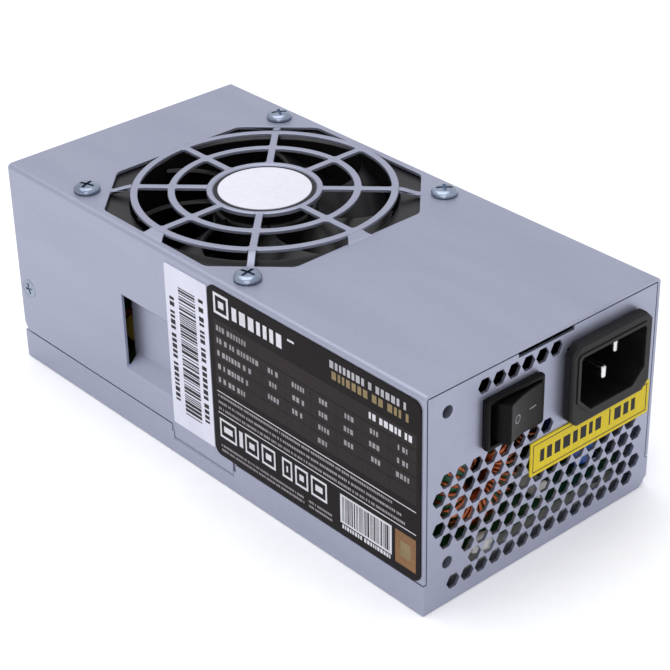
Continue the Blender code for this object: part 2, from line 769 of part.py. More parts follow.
def make_top_cover():
    """Top and both long sides in one sheet, with the stamped fan grille and the side recess."""
    beyond = 2.0 * MM
    cover = prism([cover_profile()], -END_X, END_X, "X")
    opening = prism(
        [chamfered_rectangle((FAN_X, 0.0), (FAN_OPENING, FAN_OPENING), OPENING_CHAMFER)],
        CASE_HEIGHT - SHEET - beyond,
        CASE_HEIGHT + beyond,
        "Z",
    )
    cut(cover, opening)
    for piece in grille_pieces():
        join(cover, piece)
    holes = []
    for x, y in fan_hole_places():
        radius = FAN_SCREW_SHANK + FIT_GAP
        holes.append(rod(radius, (x, y, CASE_HEIGHT - SHEET - beyond), (x, y, CASE_HEIGHT + beyond), 20))
    cut(cover, merged(holes))

    start = RECESS_FROM_END - END_X
    end = start + RECESS_LENGTH
    bottom = RECESS_BOTTOM
    top = bottom + RECESS_HEIGHT
    face = -SIDE_Y
    floor = face + RECESS_DEPTH
    run = RECESS_DEPTH
    mouth_low = (start - SHEET, face + SHEET / 2, bottom - SHEET)
    mouth_high = (end + SHEET, face + SHEET / 2, top + SHEET)
    back_low = (start - SHEET, floor + SHEET, bottom + run - SHEET)
    back_high = (end - run + SHEET, floor + SHEET, top - run + SHEET)
    pocket_outside = tapered_box((mouth_low, mouth_high), (back_low, back_high), "Y")
    join(cover, pocket_outside)
    pocket_inside = tapered_box(
        ((start, face - run, bottom - run), (end + run, face - run, top + run)),
        ((start, floor, bottom + run), (end - run, floor, top - run)),
        "Y",
    )
    cut(cover, pocket_inside)
    side_gap = box((start - beyond, face + SHEET, bottom - beyond), (start + beyond / 4, floor, top + beyond))
    cut(cover, side_gap)

    tongue_start, tongue_end = tongue_span()
    for from_x, to_x in ((-END_X - beyond, tongue_start), (tongue_end, END_X + beyond)):
        cut(cover, box((from_x, -SIDE_Y - beyond, 0.0), (to_x, SIDE_Y + beyond, STRIP_HEIGHT + SEAM_GAP)))
    hole_x = COVER_SCREW_FROM_END - END_X
    for side in (-1, 1):
        sink = rod(
            COVER_SCREW_HEAD + 2 * FIT_GAP,
            (hole_x, side * (SIDE_Y + FIT_GAP / 2), COVER_SCREW_HEIGHT),
            (hole_x, side * (SIDE_Y - 0.8 * SHEET), COVER_SCREW_HEIGHT),
            24,
            COVER_SCREW_SHANK + 2 * FIT_GAP,
        )
        hole = rod(
            COVER_SCREW_SHANK + FIT_GAP,
            (hole_x, side * (SIDE_Y + beyond), COVER_SCREW_HEIGHT),
            (hole_x, side * (SIDE_Y - SHEET - beyond), COVER_SCREW_HEIGHT),
            16,
        )
        cut(cover, sink, hole)
    cut(cover, corner_cutter(-END_X, STRIP_HEIGHT + SEAM_GAP, CORNER_RADIUS, 1, 1))
    return finish(cover, "top_cover", STEEL)


def make_hub_badge():
    """Blank round badge in the middle of the grille."""
    low = GRILLE_TOP - BADGE_THICKNESS + FIT_GAP
    high = low + BADGE_THICKNESS
    edge = 0.3 * MM
    profile = [
        (0.0, high),
        (BADGE_RADIUS - edge, high),
        (BADGE_RADIUS, high - edge),
        (BADGE_RADIUS, low),
        (0.0, low),
    ]
    badge = turned(profile, 32, (FAN_X, 0.0, 0.0))
    return finish(badge, "hub_badge", WHITE_PLASTIC, smooth=True)


# ---------------------------------------------------------------- fan
def fan_hole_places():
    half = FAN_HOLE_PITCH / 2
    return [(FAN_X + sx * half, sy * half) for sx in (-1, 1) for sy in (-1, 1)]


def make_fan_frame():
    """Square frame with a round bore, two flanges, a motor base on four struts and a bearing tube."""
    beyond = 1.0 * MM
    half = FAN_SIZE / 2
    square = rounded_rectangle(FAN_X - half, -half, FAN_X + half, half, 4.0 * MM, 3)
    frame = prism([square], FAN_BOTTOM, FAN_TOP, "Z")
    waist_low = FAN_BOTTOM + FAN_FLANGE
    waist_high = FAN_TOP - FAN_FLANGE
    shell = FAN_BORE + 1.4 * MM
    waist = turned(
        [(shell, waist_high), (1.5 * FAN_SIZE, waist_high), (1.5 * FAN_SIZE, waist_low), (shell, waist_low)],
        32,
        (FAN_X, 0.0, 0.0),
    )
    cut(frame, waist)
    bore = rod(FAN_BORE, (FAN_X, 0.0, FAN_BOTTOM - beyond), (FAN_X, 0.0, FAN_TOP + beyond), 40)
    cut(frame, bore)
    base_top = FAN_BOTTOM + FAN_BASE
    strut_half = 1.6 * MM
    struts = []
    for index in range(2):
        strut = box(
            (-FAN_BORE - beyond, -strut_half, FAN_BOTTOM), (FAN_BORE + beyond, strut_half, base_top)
        )
        baked(strut)
        turn = Matrix.Rotation(math.radians(20.0 + 90.0 * index), 4, "Z")
        strut.data.transform(Matrix.Translation((FAN_X, 0.0, 0.0)) @ turn)
        struts.append(strut)
    inset = 0.02 * MM
    disc = rod(
        ROTOR_HUB_RADIUS + beyond, (FAN_X, 0.0, FAN_BOTTOM + inset), (FAN_X, 0.0, base_top - inset), 24
    )
    tube = rod(
        bearing_tube_radius(),
        (FAN_X, 0.0, FAN_BOTTOM + FAN_BASE / 2),
        (FAN_X, 0.0, bearing_top() + FIT_GAP),
        16,
    )
    join(frame, *struts, disc, tube)
    tube_bore = rod(
        BEARING_RADIUS + FIT_GAP,
        (FAN_X, 0.0, base_top),
        (FAN_X, 0.0, bearing_top() + beyond),
        16,
    )
    cut(frame, tube_bore)
    holes = []
    for x, y in fan_hole_places():
        radius = FAN_SCREW_SHANK + FIT_GAP
        holes.append(rod(radius, (x, y, FAN_BOTTOM - beyond), (x, y, FAN_TOP + beyond), 12))
    cut(frame, merged(holes))
    return finish(frame, "fan_frame", BLACK_PLASTIC)


def bearing_tube_radius():
    return BEARING_RADIUS + FIT_GAP + BEARING_TUBE_WALL


def bearing_bottom():
    return FAN_BOTTOM + FAN_BASE + FIT_GAP


def rotor_top():
    return FAN_TOP - 1.5 * MM


def bearing_top():
    return rotor_top() - ROTOR_WALL - 4.0 * MM


def rotor_bottom():
    return FAN_BOTTOM + FAN_BASE + 2.4 * MM


def blade_mesh(angle):
    """One twisted blade as a grid of points, thickened afterwards."""
    inner = ROTOR_HUB_RADIUS - ROTOR_WALL / 2
    outer = FAN_BORE - ROTOR_TIP_CLEARANCE - BLADE_THICKNESS / 2
    low = rotor_bottom() - 0.6 * MM
    high = rotor_top() - 0.6 * MM
    rows = 3
    columns = 4
    sweep = math.radians(44.0)
    lean = math.radians(16.0)
    shape = bmesh.new()
    grid = []
    for row in range(rows + 1):
        out = row / rows
        radius = inner + (outer - inner) * out
        line = []
        for column in range(columns + 1):
            along = column / columns
            turn = angle + lean * out * out + sweep * (along - 0.5) * (0.75 + 0.25 * out)
            rise = low + (high - low) * (along ** 0.85)
            line.append(shape.verts.new((radius * math.cos(turn), radius * math.sin(turn), rise)))
        grid.append(line)
    for row in range(rows):
        for column in range(columns):
            shape.faces.new(
                (grid[row][column], grid[row][column + 1], grid[row + 1][column + 1], grid[row + 1][column])
            )
    mesh = bpy.data.meshes.new("blade")
    shape.to_mesh(mesh)
    shape.free()
    obj = bpy.data.objects.new("blade", mesh)
    bpy.context.scene.collection.objects.link(obj)
    wall = obj.modifiers.new("Thickness", "SOLIDIFY")
    wall.thickness = BLADE_THICKNESS
    wall.offset = 0.0
    bpy.context.view_layer.update()
    return as_mesh(obj)


def make_fan_rotor():
    """Hub cup, open below, with its shaft boss and seven blades. Its origin is on the fan axis."""
    top = rotor_top()
    bottom = rotor_bottom()
    boss_low = bearing_top() + 2 * FIT_GAP + 0.6 * MM
    inner = ROTOR_HUB_RADIUS - ROTOR_WALL
    edge = 1.0 * MM
    profile = [
        (0.0, top),
        (ROTOR_HUB_RADIUS - edge, top),
        (ROTOR_HUB_RADIUS, top - edge),
        (ROTOR_HUB_RADIUS, bottom),
        (inner, bottom),
        (inner, top - ROTOR_WALL),
        (BEARING_RADIUS, top - ROTOR_WALL),
        (BEARING_RADIUS, boss_low),
        (shaft_hole_radius(), boss_low),
        (shaft_hole_radius(), shaft_top() + FIT_GAP / 2),
        (0.0, shaft_top() + FIT_GAP / 2),
    ]
    rotor = turned(profile, 28)
    blades = merged([blade_mesh(2 * math.pi * index / BLADES) for index in range(BLADES)])
    blades.location = (FAN_X, 0.0, 0.0)
    rotor.location = (FAN_X, 0.0, 0.0)
    join(rotor, blades)
    return finish(rotor, "fan_rotor", BLACK_PLASTIC)


def shaft_hole_radius():
    return SHAFT_RADIUS + FIT_GAP / 2


def shaft_top():
    return rotor_top() - ROTOR_WALL / 2 - FIT_GAP / 2


def on_fan_axis(obj, name, surface):
    obj.location = (FAN_X, 0.0, 0.0)
    return finish(obj, name, surface, smooth=True)


def tube_profile(inner, outer, low, high):
    return [(inner, high), (outer, high), (outer, low), (inner, low)]


def make_fan_internals():
    """Shaft, sleeve bearing, magnet ring, wound stator and driver board of the fan's motor."""
    shaft = turned([(0.0, shaft_top()), (SHAFT_RADIUS, shaft_top()), (SHAFT_RADIUS, bearing_bottom()),
                    (0.0, bearing_bottom())], 12)
    on_fan_axis(shaft, "fan_shaft", BRIGHT_STEEL)
    bearing = turned(tube_profile(BEARING_BORE, BEARING_RADIUS, bearing_bottom(), bearing_top()), 16)
    on_fan_axis(bearing, "fan_bearing", BRONZE)
    magnet_outer = ROTOR_HUB_RADIUS - ROTOR_WALL - FIT_GAP
    magnet_inner = magnet_outer - MAGNET_THICKNESS
    magnet_low = rotor_bottom() + 1.0 * MM
    magnet_high = rotor_top() - ROTOR_WALL - 1.5 * MM
    magnet = turned(tube_profile(magnet_inner, magnet_outer, magnet_low, magnet_high), 24)
    on_fan_axis(magnet, "fan_magnet_ring", DARK_FERRITE)
    core_inner = bearing_tube_radius() + FIT_GAP
    core_outer = magnet_inner - AIR_GAP
    core_low = rotor_bottom() + 1.2 * MM
    core_high = bearing_top() - 0.4 * MM
    stator = turned(tube_profile(core_inner, core_outer, core_low, core_high), 24)
    slots = []
    reach = core_outer * 1.2
    for index in range(STATOR_POLES // 2):
        slot = box(
            (-reach, -STATOR_SLOT / 2, core_low - MM), (reach, STATOR_SLOT / 2, core_high + MM)
        )
        baked(slot)
        slot.matrix_world = Matrix.Rotation(math.radians(45.0 + 90.0 * index), 4, "Z")
        slots.append(slot)
    slot_cutter = merged(slots)
    slot_cutter.location = (FAN_X, 0.0, 0.0)
    inset = 0.1 * MM
    sleeve = turned(
        tube_profile(core_inner, core_inner + STATOR_SLEEVE, core_low + inset, core_high - inset), 16
    )
    sleeve.location = (FAN_X, 0.0, 0.0)
    cut(stator, slot_cutter)
    join(stator, sleeve)
    on_fan_axis(stator, "fan_stator", COPPER)
    board_low = bearing_bottom()
    board = turned(tube_profile(core_inner, core_outer, board_low, board_low + 1.2 * MM), 20)
    on_fan_axis(board, "fan_circuit_board", GREEN_BOARD)


# ---------------------------------------------------------------- screws
def cross_cutter(radius, top, depth, width):
    """A tapered cross that forms the driver recess of a screw head, about Z."""
    arms = []
    for index in range(2):
        arm = tapered_box(
            ((-radius * 0.35, -width / 2, top - depth), (radius * 0.35, width / 2, top - depth)),
            ((-radius, -width / 2, top + MM / 2), (radius, width / 2, top + MM / 2)),
            "Z",
        )
        arm.data.transform(Matrix.Rotation(math.radians(90.0 * index), 4, "Z"))
        arms.append(arm)
    return arms


def plain_mesh(obj):
    """The evaluated mesh of an object, which is then removed along with its cutters."""
    bpy.context.view_layer.update()
    cutters = [m.object for m in obj.modifiers if m.type == "BOOLEAN"]
    solid = as_mesh(obj)
    mesh = solid.data
    bpy.data.objects.remove(solid, do_unlink=True)
    for cutter in cutters:
        bpy.data.objects.remove(cutter, do_unlink=True)
    return mesh


def pan_screw_mesh(head, height, shank, length, segments):
    """Pan head with a cross recess above Z = 0 and its shank below."""
    profile = [
        (0.0, height),
        (head * 0.55, height * 0.97),
        (head * 0.86, height * 0.74),
        (head, height * 0.34),
        (head, 0.0),
        (shank, 0.0),
        (shank, -length + shank * 0.6),
        (shank * 0.4, -length),
        (0.0, -length),
    ]
    screw = turned(profile, segments)
    cut(screw, *cross_cutter(head * 0.6, height, height * 0.62, head * 0.24))
    return plain_mesh(screw)


def countersunk_screw_mesh(head, shank, length, segments):
    """Flat head that narrows to its shank over the sheet's thickness, face at Z = 0."""
    sink = 0.7 * SHEET
    profile = [(0.0, 0.0), (head, 0.0), (head, -0.12 * MM), (shank, -sink), (shank, -length), (0.0, -length)]
    screw = turned(profile, segments)
    cut(screw, *cross_cutter(head * 0.6, 0.0, sink * 0.7, head * 0.24))
    return plain_mesh(screw)


def place_screw(mesh, name, location, direction, spin=0.0):
    screw = bpy.data.objects.new(name, mesh)
    bpy.context.scene.collection.objects.link(screw)
    screw.location = location
    turn = Vector(direction).to_track_quat("Z", "Y").to_matrix().to_4x4()
    screw.rotation_euler = (turn @ Matrix.Rotation(spin, 4, "Z")).to_euler()
    move_to(screw, UNIT)
    return screw


def make_screws():
    fan_screw = pan_screw_mesh(FAN_SCREW_HEAD, FAN_SCREW_HEAD_HEIGHT, FAN_SCREW_SHANK, FAN_SCREW_LENGTH, 12)
    fan_screw.materials.append(ZINC)
    for index, (x, y) in enumerate(fan_hole_places()):
        spin = math.radians(20.0 + 40.0 * index)
        place_screw(fan_screw, f"fan_screw_{index + 1}", (x, y, CASE_HEIGHT + FIT_GAP), (0, 0, 1), spin)
    cover_screw = countersunk_screw_mesh(COVER_SCREW_HEAD, COVER_SCREW_SHANK, COVER_SCREW_LENGTH, 14)
    cover_screw.materials.append(ZINC)
    for side, name in ((-1, "cover_screw_label_side"), (1, "cover_screw_far_side")):
        place = (COVER_SCREW_FROM_END - END_X, side * SIDE_Y, COVER_SCREW_HEIGHT)
        place_screw(cover_screw, name, place, (0, side, 0), math.radians(15.0))
    board_length = STANDOFF_HEIGHT + BOARD_THICKNESS - 0.5 * MM
    board_screw = pan_screw_mesh(BOARD_SCREW_HEAD, 1.6 * MM, BOARD_SCREW_SHANK, board_length, 8)
    board_screw.materials.append(ZINC)
    for index, (x, y) in enumerate(board_hole_places()):
        place_screw(board_screw, f"board_screw_{index + 1}", (x, y, SEAT), (0, 0, 1), 0.3 * index)


# ---------------------------------------------------------------- mains inlet
def inlet_centre():
    return panel_y(INLET_Y), below_top(INLET_DROP)


def inlet_pin_places():
    y = panel_y(INLET_Y)
    return {
        "inlet_pin_live": (y - PIN_SPACING, below_top(PIN_DROP), END_X - PIN_BEHIND_PANEL),
        "inlet_pin_neutral": (y + PIN_SPACING, below_top(PIN_DROP), END_X - PIN_BEHIND_PANEL),
        "inlet_pin_earth": (y, below_top(EARTH_DROP), END_X + EARTH_AHEAD_OF_PANEL),
    }


def inlet_back():
    return END_X + INLET_PROUD - INLET_CAVITY_DEPTH - INLET_BACK_WALL


def make_inlet():
    """Three-pin appliance inlet: moulded housing with a keyed socket, and its blades."""
    beyond = 2.0 * MM
    centre = inlet_centre()
    front = END_X + INLET_PROUD
    flange_back = END_X + FIT_GAP
    housing = prism([chamfered_rectangle(centre, INLET_FLANGE, INLET_CORNER)], flange_back, front, "X")
    bevel(housing, 0.5 * MM, 1, 60.0)
    body = prism(
        [chamfered_rectangle(centre, INLET_BODY, INLET_KEY_CHAMFER, 0.8 * MM)],
        inlet_back(),
        flange_back + 0.5 * MM,
        "X",
    )
    join(housing, body)
    cavity = prism(
        [chamfered_rectangle(centre, INLET_CAVITY, INLET_KEY_CHAMFER, 0.6 * MM)],
        inlet_back() + INLET_BACK_WALL,
        front + beyond,
        "X",
    )
    cut(housing, cavity)
    for name, (y, z, tip) in inlet_pin_places().items():
        half = (PIN_THICKNESS / 2 + FIT_GAP, PIN_HEIGHT / 2 + FIT_GAP)
        slot = box(
            (inlet_back() - beyond, y - half[0], z - half[1]),
            (inlet_back() + INLET_BACK_WALL + beyond, y + half[0], z + half[1]),
        )
        cut(housing, slot)
        pin = box(
            (inlet_back() - PIN_TAIL, y - PIN_THICKNESS / 2, z - PIN_HEIGHT / 2),
            (tip, y + PIN_THICKNESS / 2, z + PIN_HEIGHT / 2),
        )
        bevel(pin, 0.5 * MM)
        finish(pin, name, BRIGHT_STEEL)
    finish(housing, "inlet_housing", BLACK_PLASTIC)


# ---------------------------------------------------------------- rocker switch
def switch_centre():
    return panel_y(SWITCH_Y), below_top(SWITCH_DROP)


def pivot_point():
    y, z = switch_centre()
    return Vector((END_X - ROCKER_PIVOT_DEPTH, y, z))


def make_switch():
    """Switch body with its bezel and two blade terminals."""
    beyond = 2.0 * MM
    y, z = switch_centre()
    front = END_X + SWITCH_PROUD
    back = END_X - SWITCH_DEPTH
    bezel = prism(
        [chamfered_rectangle((y, z), SWITCH_BEZEL, 0.7 * MM)], END_X + FIT_GAP, front, "X"
    )
    bevel(bezel, 0.4 * MM, 1, 60.0)
    body = box(
        (back, y - SWITCH_BODY[0] / 2, z - SWITCH_BODY[1] / 2),
        (END_X + 2 * FIT_GAP, y + SWITCH_BODY[0] / 2, z + SWITCH_BODY[1] / 2),
    )
    join(bezel, body)
    opening = box(
        (back + SWITCH_BACK_WALL, y - SWITCH_OPENING[0] / 2, z - SWITCH_OPENING[1] / 2),
        (front + beyond, y + SWITCH_OPENING[0] / 2, z + SWITCH_OPENING[1] / 2),
    )
    cut(bezel, opening)
    pivot = pivot_point()
    pin_hole = rod(
        ROCKER_PIN_RADIUS + FIT_GAP,
        pivot - Vector((0, 0, SWITCH_BODY[1] / 2 + beyond / 2)),
        pivot + Vector((0, 0, SWITCH_BODY[1] / 2 + beyond / 2)),
        16,
    )
    cut(bezel, pin_hole)
    for index, offset in enumerate((-TERMINAL_SPACING, TERMINAL_SPACING)):
        half = (TERMINAL_THICKNESS / 2, TERMINAL_WIDTH / 2)
        slot = box(
            (back - beyond, y + offset - half[0] - FIT_GAP, z - half[1] - FIT_GAP),
            (back + SWITCH_BACK_WALL + beyond, y + offset + half[0] + FIT_GAP, z + half[1] + FIT_GAP),
        )
        cut(bezel, slot)
        blade = box(
            (back - 7.0 * MM, y + offset - half[0], z - half[1]),
            (back + SWITCH_BACK_WALL + 0.8 * MM, y + offset + half[0], z + half[1]),
        )
        finish(blade, f"switch_terminal_{index + 1}", BRASS)
    finish(bezel, "switch_housing", BLACK_PLASTIC)


def rocker_outline():
    """Rocker section across its pivot, level: dished face outwards, flanks, and a keel inside."""
    height = ROCKER_FACE_HEIGHT
    half = ROCKER_FACE_HALF
    outline = []
    steps = 8
    for step in range(steps + 1):
        across = -half + 2 * half * step / steps
        outline.append((height + ROCKER_DISH * (across / half) ** 2, across))
    waist = ROCKER_PIVOT_DEPTH + 0.5 * MM
    side = [
        (waist, ROCKER_WAIST_HALF),
        (0.0, ROCKER_WAIST_HALF),
        (-ROCKER_HEEL, ROCKER_WAIST_HALF - ROCKER_HEEL),
        (-ROCKER_KEEL_DEPTH, ROCKER_KEEL_HALF),
    ]
    return outline + side + [(depth, -across) for depth, across in reversed(side)]


def make_rocker():
    """The rocker, pressed in at its ON end. Its origin is on the pivot axis, which runs along Z."""
    half = SWITCH_OPENING[1] / 2 - FIT_GAP
    rocker = prism([rocker_outline()], -half, half, "Z")
    reach = half + FIT_GAP + ROCKER_PIN_REACH
    pin = rod(ROCKER_PIN_RADIUS, (0, 0, -reach), (0, 0, reach), 16)
    pivot = pivot_point()
    rocker.location = pivot
    pin.location = pivot
    rocker.rotation_euler = (0.0, 0.0, ROCKER_TILT)
    join(rocker, pin)
    return finish(rocker, "switch_rocker", BLACK_PLASTIC)


# ---------------------------------------------------------------- labels
def make_labels():
    outer = -SIDE_Y - LABEL_GAP
    start = RATING_LABEL_FROM_END - END_X
    top = below_top(RATING_LABEL_DROP)
    outline = rounded_rectangle(
        start, top - RATING_LABEL_SIZE[1], start + RATING_LABEL_SIZE[0], top, RATING_LABEL_CORNER, 3
    )
    rating = prism([outline], outer - LABEL_THICKNESS, outer, "Y")
    finish(rating, "rating_label", LABEL_BLACK)
    top = below_top(BARCODE_LABEL_DROP)
    end = start - LABEL_SPACING
    barcode = box(
        (end - BARCODE_LABEL_SIZE[0], outer - LABEL_THICKNESS, top - BARCODE_LABEL_SIZE[1]), (end, outer, top)
    )
    finish(barcode, "barcode_label", PAPER_WHITE)
    inner = END_X + LABEL_GAP
    top = below_top(STICKER_DROP)
    sticker = box(
        (inner, panel_y(STICKER_Y), top - STICKER_SIZE[1]),
        (inner + LABEL_THICKNESS, panel_y(STICKER_Y) + STICKER_SIZE[0], top),
    )
    finish(sticker, "input_sticker", STICKER_YELLOW)


# ---------------------------------------------------------------- board
def make_board():
    """Circuit board on four posts of the chassis, with an insulating sheet below it."""
    board = box((-BOARD_HALF_X, -BOARD_HALF_Y, BOARD_BOTTOM), (BOARD_HALF_X, BOARD_HALF_Y, BOARD_TOP))
    holes = []
    for x, y in board_hole_places():
        holes.append(rod(BOARD_SCREW_SHANK + FIT_GAP, (x, y, BOARD_BOTTOM - MM), (x, y, BOARD_TOP + MM), 8))
    cut(board, merged(holes))
    finish(board, "circuit_board", GREEN_BOARD)
    low = SHEET + FIT_GAP
    high = low + INSULATION_THICKNESS
    sheet = box((-BOARD_HALF_X, -BOARD_HALF_Y, low), (BOARD_HALF_X, BOARD_HALF_Y, high))
    holes = []
    for x, y in board_hole_places():
        holes.append(rod(STANDOFF_RADIUS + 2 * FIT_GAP, (x, y, low - MM), (x, y, high + MM), 10))
    cut(sheet, merged(holes))
    finish(sheet, "insulation_sheet", CLEAR_FILM)


def toroid(major, minor, centre, turn, segments, sides):
    bpy.ops.mesh.primitive_torus_add(
        major_radius=major,
        minor_radius=minor,
        major_segments=segments,
        minor_segments=sides,
        location=centre,
        rotation=turn,
    )
    return bpy.context.object


def make_toroid_choke(name, size, centre, turn, core_surface):
    """Ring core with a winding around most of it, left open on one side."""
    major, minor, wire = size
    core = toroid(major, minor, centre, turn, 18, 8)
    finish(core, f"{name}_core", core_surface, smooth=True)
    winding = toroid(major, minor + FIT_GAP + wire, centre, turn, 18, 8)
    hollow = toroid(major, minor + FIT_GAP, centre, turn, 18, 8)
    cut(winding, hollow)
    gap = CHOKE_WINDING_GAP * major
    outer = major + minor + 3 * wire
    depth = minor + 2 * wire
    opening = box((-outer, -gap / 2, -depth), (0.0, gap / 2, depth))
    baked(opening)
    opening.location = centre
    opening.rotation_euler = turn
    cut(winding, opening)
    finish(winding, f"{name}_winding", COPPER, smooth=True)


def capacitor(name, x, y, size):
    """Sleeved can, standing on the board."""
    radius, height = size
    edge = 0.5 * MM
    profile = [
        (0.0, SEAT + height),
        (radius - edge, SEAT + height),
        (radius, SEAT + height - edge),
        (radius, SEAT),
        (0.0, SEAT),
    ]
    can = turned(profile, 16, (x, y, 0.0))
    return finish(can, name, SLEEVE_BLACK, smooth=True)


def heatsink(name, start, end, y, lean):
    """Extruded aluminium plate with fins to one side, along X."""
    plate = HEATSINK_PLATE
    tip = plate + HEATSINK_FIN_REACH
    top = SEAT + HEATSINK_HEIGHT
    outline = [(0.0, SEAT), (plate, SEAT)]
    for index in range(HEATSINK_FINS, 0, -1):
        high = top - (index - 1) * HEATSINK_FIN_PITCH
        low = high - HEATSINK_FIN
        outline += [(plate, low), (tip, low), (tip, high)]
        if index > 1:
            outline.append((plate, high))
    outline.append((0.0, top))
    placed = [(y + lean * across, up) for across, up in outline]
    sink = prism([placed], start, end, "X")
    return finish(sink, name, ALUMINIUM)


def transistor(name, x, y, side):
    """Power transistor standing against a heatsink: moulded body with a metal tab and three legs."""
    width, thickness, height = TRANSISTOR_BODY
    body_low = SEAT + TRANSISTOR_LEG
    body_high = body_low + height
    near = y + side * FIT_GAP
    far = near + side * thickness
    across = sorted((near, far))
    body = box((x - width / 2, across[0], body_low), (x + width / 2, across[1], body_high))
    inset = 0.01 * MM
    tab_across = sorted((near, near + side * 1.3 * MM))
    tab = box(
        (x - width / 2 + 10 * inset, tab_across[0] + inset, body_high - MM),
        (x + width / 2 - 10 * inset, tab_across[1] - inset, body_high + TRANSISTOR_TAB),
    )
    join(body, tab)
    middle = (near + far) / 2
    half = (0.4 * MM, 0.3 * MM)
    legs = []
    for step in (-1, 0, 1):
        centre = x + step * LEG_PITCH
        low = (centre - half[0], middle - half[1], SEAT)
        legs.append(box(low, (centre + half[0], middle + half[1], body_low + 0.5 * MM)))
    join(body, *legs)
    return finish(body, name, BLACK_PLASTIC)


def make_transformer():
    """Main transformer: ferrite frame with two windows, and the winding around its middle leg."""
    x = FAN_X + TRANSFORMER_BEYOND_FAN
    y = panel_y(TRANSFORMER_Y)
    half_x = TRANSFORMER[0] / 2
    half_y = TRANSFORMER[1] / 2
    low = SEAT + TRANSFORMER_LIFT
    high = low + TRANSFORMER[2]
    leg = TRANSFORMER_LEG
    core = box((x - half_x, y - half_y, low), (x + half_x, y + half_y, high))
    for side in (-1, 1):
        across = sorted((x + side * leg, x + side * (half_x - leg)))
        window = box((across[0], y - 2 * half_y, low + leg), (across[1], y + 2 * half_y, high - leg))
        cut(core, window)
    finish(core, "transformer_core", DARK_FERRITE)
    gap = FIT_GAP
    reach = half_x - leg - 2 * gap
    build = TRANSFORMER_LEG
    outer = rounded_rectangle(
        x - reach, y - half_y - build, x + reach, y + half_y + build, 3.0 * MM, 3
    )
    inner = [
        (x - leg - gap, y - half_y - gap),
        (x + leg + gap, y - half_y - gap),
        (x + leg + gap, y + half_y + gap),
        (x - leg - gap, y + half_y + gap),
    ]
    winding = prism([outer, inner], low + leg + gap, high - leg - gap, "Z")
    finish(winding, "transformer_winding", TAPE_YELLOW)


def disc_capacitor(name, x, y):
    """Blue disc capacitor standing on its two leads."""
    radius = DISC_CAPACITOR_RADIUS
    centre = SEAT + 2.0 * MM + radius
    half = DISC_CAPACITOR_THICKNESS / 2
    disc = rod(radius, (x - half, y, centre), (x + half, y, centre), 16)
    bevel(disc, 1.0 * MM, 1, 60.0)
    lead = 0.4 * MM
    for offset in (-radius / 2, radius / 2):
        low = (x - lead, y + offset - lead, SEAT)
        join(disc, box(low, (x + lead, y + offset + lead, centre)))
    return finish(disc, name, BLUE_LACQUER, smooth=True)


def wire(name, points, surface):
    """Insulated lead on a smooth route through the given points."""
    route = []
    steps = 4
    for index in range(len(points) - 1):
        before = Vector(points[max(index - 1, 0)])
        start = Vector(points[index])
        end = Vector(points[index + 1])
        after = Vector(points[min(index + 2, len(points) - 1)])
        for step in range(steps):
            t = step / steps
            route.append(
                0.5
                * (
                    2 * start
                    + (end - before) * t
                    + (2 * before - 5 * start + 4 * end - after) * t * t
                    + (3 * start - before - 3 * end + after) * t * t * t
                )
            )
    route.append(Vector(points[-1]))
    curve = bpy.data.curves.new(name, "CURVE")
    curve.dimensions = "3D"
    curve.bevel_depth = WIRE_RADIUS
    curve.bevel_resolution = 2
    curve.use_fill_caps = True
    spline = curve.splines.new("POLY")
    spline.points.add(len(route) - 1)
    for point, place in zip(spline.points, route):
        point.co = (*place, 1.0)
    obj = bpy.data.objects.new(name, curve)
    bpy.context.scene.collection.objects.link(obj)
    bpy.context.view_layer.update()
    return finish(as_mesh(obj), name, surface, smooth=True)


def make_chokes():
    """Filter choke behind the vents, line choke beside it, and output choke at the cable end."""
    standing_across = (0.0, math.radians(90.0), 0.0)
    standing_along = (math.radians(90.0), 0.0, 0.0)
    lying = (0.0, 0.0, math.radians(90.0))
    centre = (
        END_X - FILTER_CHOKE_FROM_PANEL, panel_y(FILTER_CHOKE_Y), SEAT + FILTER_CHOKE_LIFT
    )
    make_toroid_choke("filter_choke", FILTER_CHOKE, centre, standing_across, GREEN_COATING)
    finish(glue_mound(centre[0], centre[1]), "choke_glue", SILICONE_WHITE, smooth=True)
    centre = (END_X - LINE_CHOKE_FROM_PANEL, panel_y(LINE_CHOKE_Y), SEAT + LINE_CHOKE_LIFT)
    make_toroid_choke("line_choke", LINE_CHOKE, centre, standing_along, DARK_FERRITE)
    centre = (
        OUTPUT_CHOKE_FROM_END - BOARD_HALF_X, panel_y(OUTPUT_CHOKE_Y), SEAT + OUTPUT_CHOKE_LIFT
    )
    make_toroid_choke("output_choke", OUTPUT_CHOKE, centre, lying, CORE_YELLOW)


def glue_mound(choke_x, choke_y):
    """Mound of silicone that beds the filter choke on the board, on its panel side."""
    bpy.ops.mesh.primitive_uv_sphere_add(segments=12, ring_count=8, radius=1.0)
    mound = bpy.context.object
    mound.data.transform(Matrix.Diagonal((2.6 * MM, 5.0 * MM, 3.4 * MM, 1.0)))
    mound.location = (choke_x + 8.4 * MM, choke_y - 5.0 * MM, SEAT)
    below = box((choke_x, choke_y - 20 * MM, SEAT - 5 * MM), (choke_x + 14 * MM, choke_y + 10 * MM, SEAT))
    cut(mound, below)
    return mound


def standing_block(name, size, near_end, y, edge, surface):
    """Bevelled block on the board, its length running back from the end nearest the panel."""
    length, thickness, height = size
    block = box((near_end - length, y, SEAT), (near_end, y + thickness, SEAT + height))
    bevel(block, edge)
    return finish(block, name, surface)


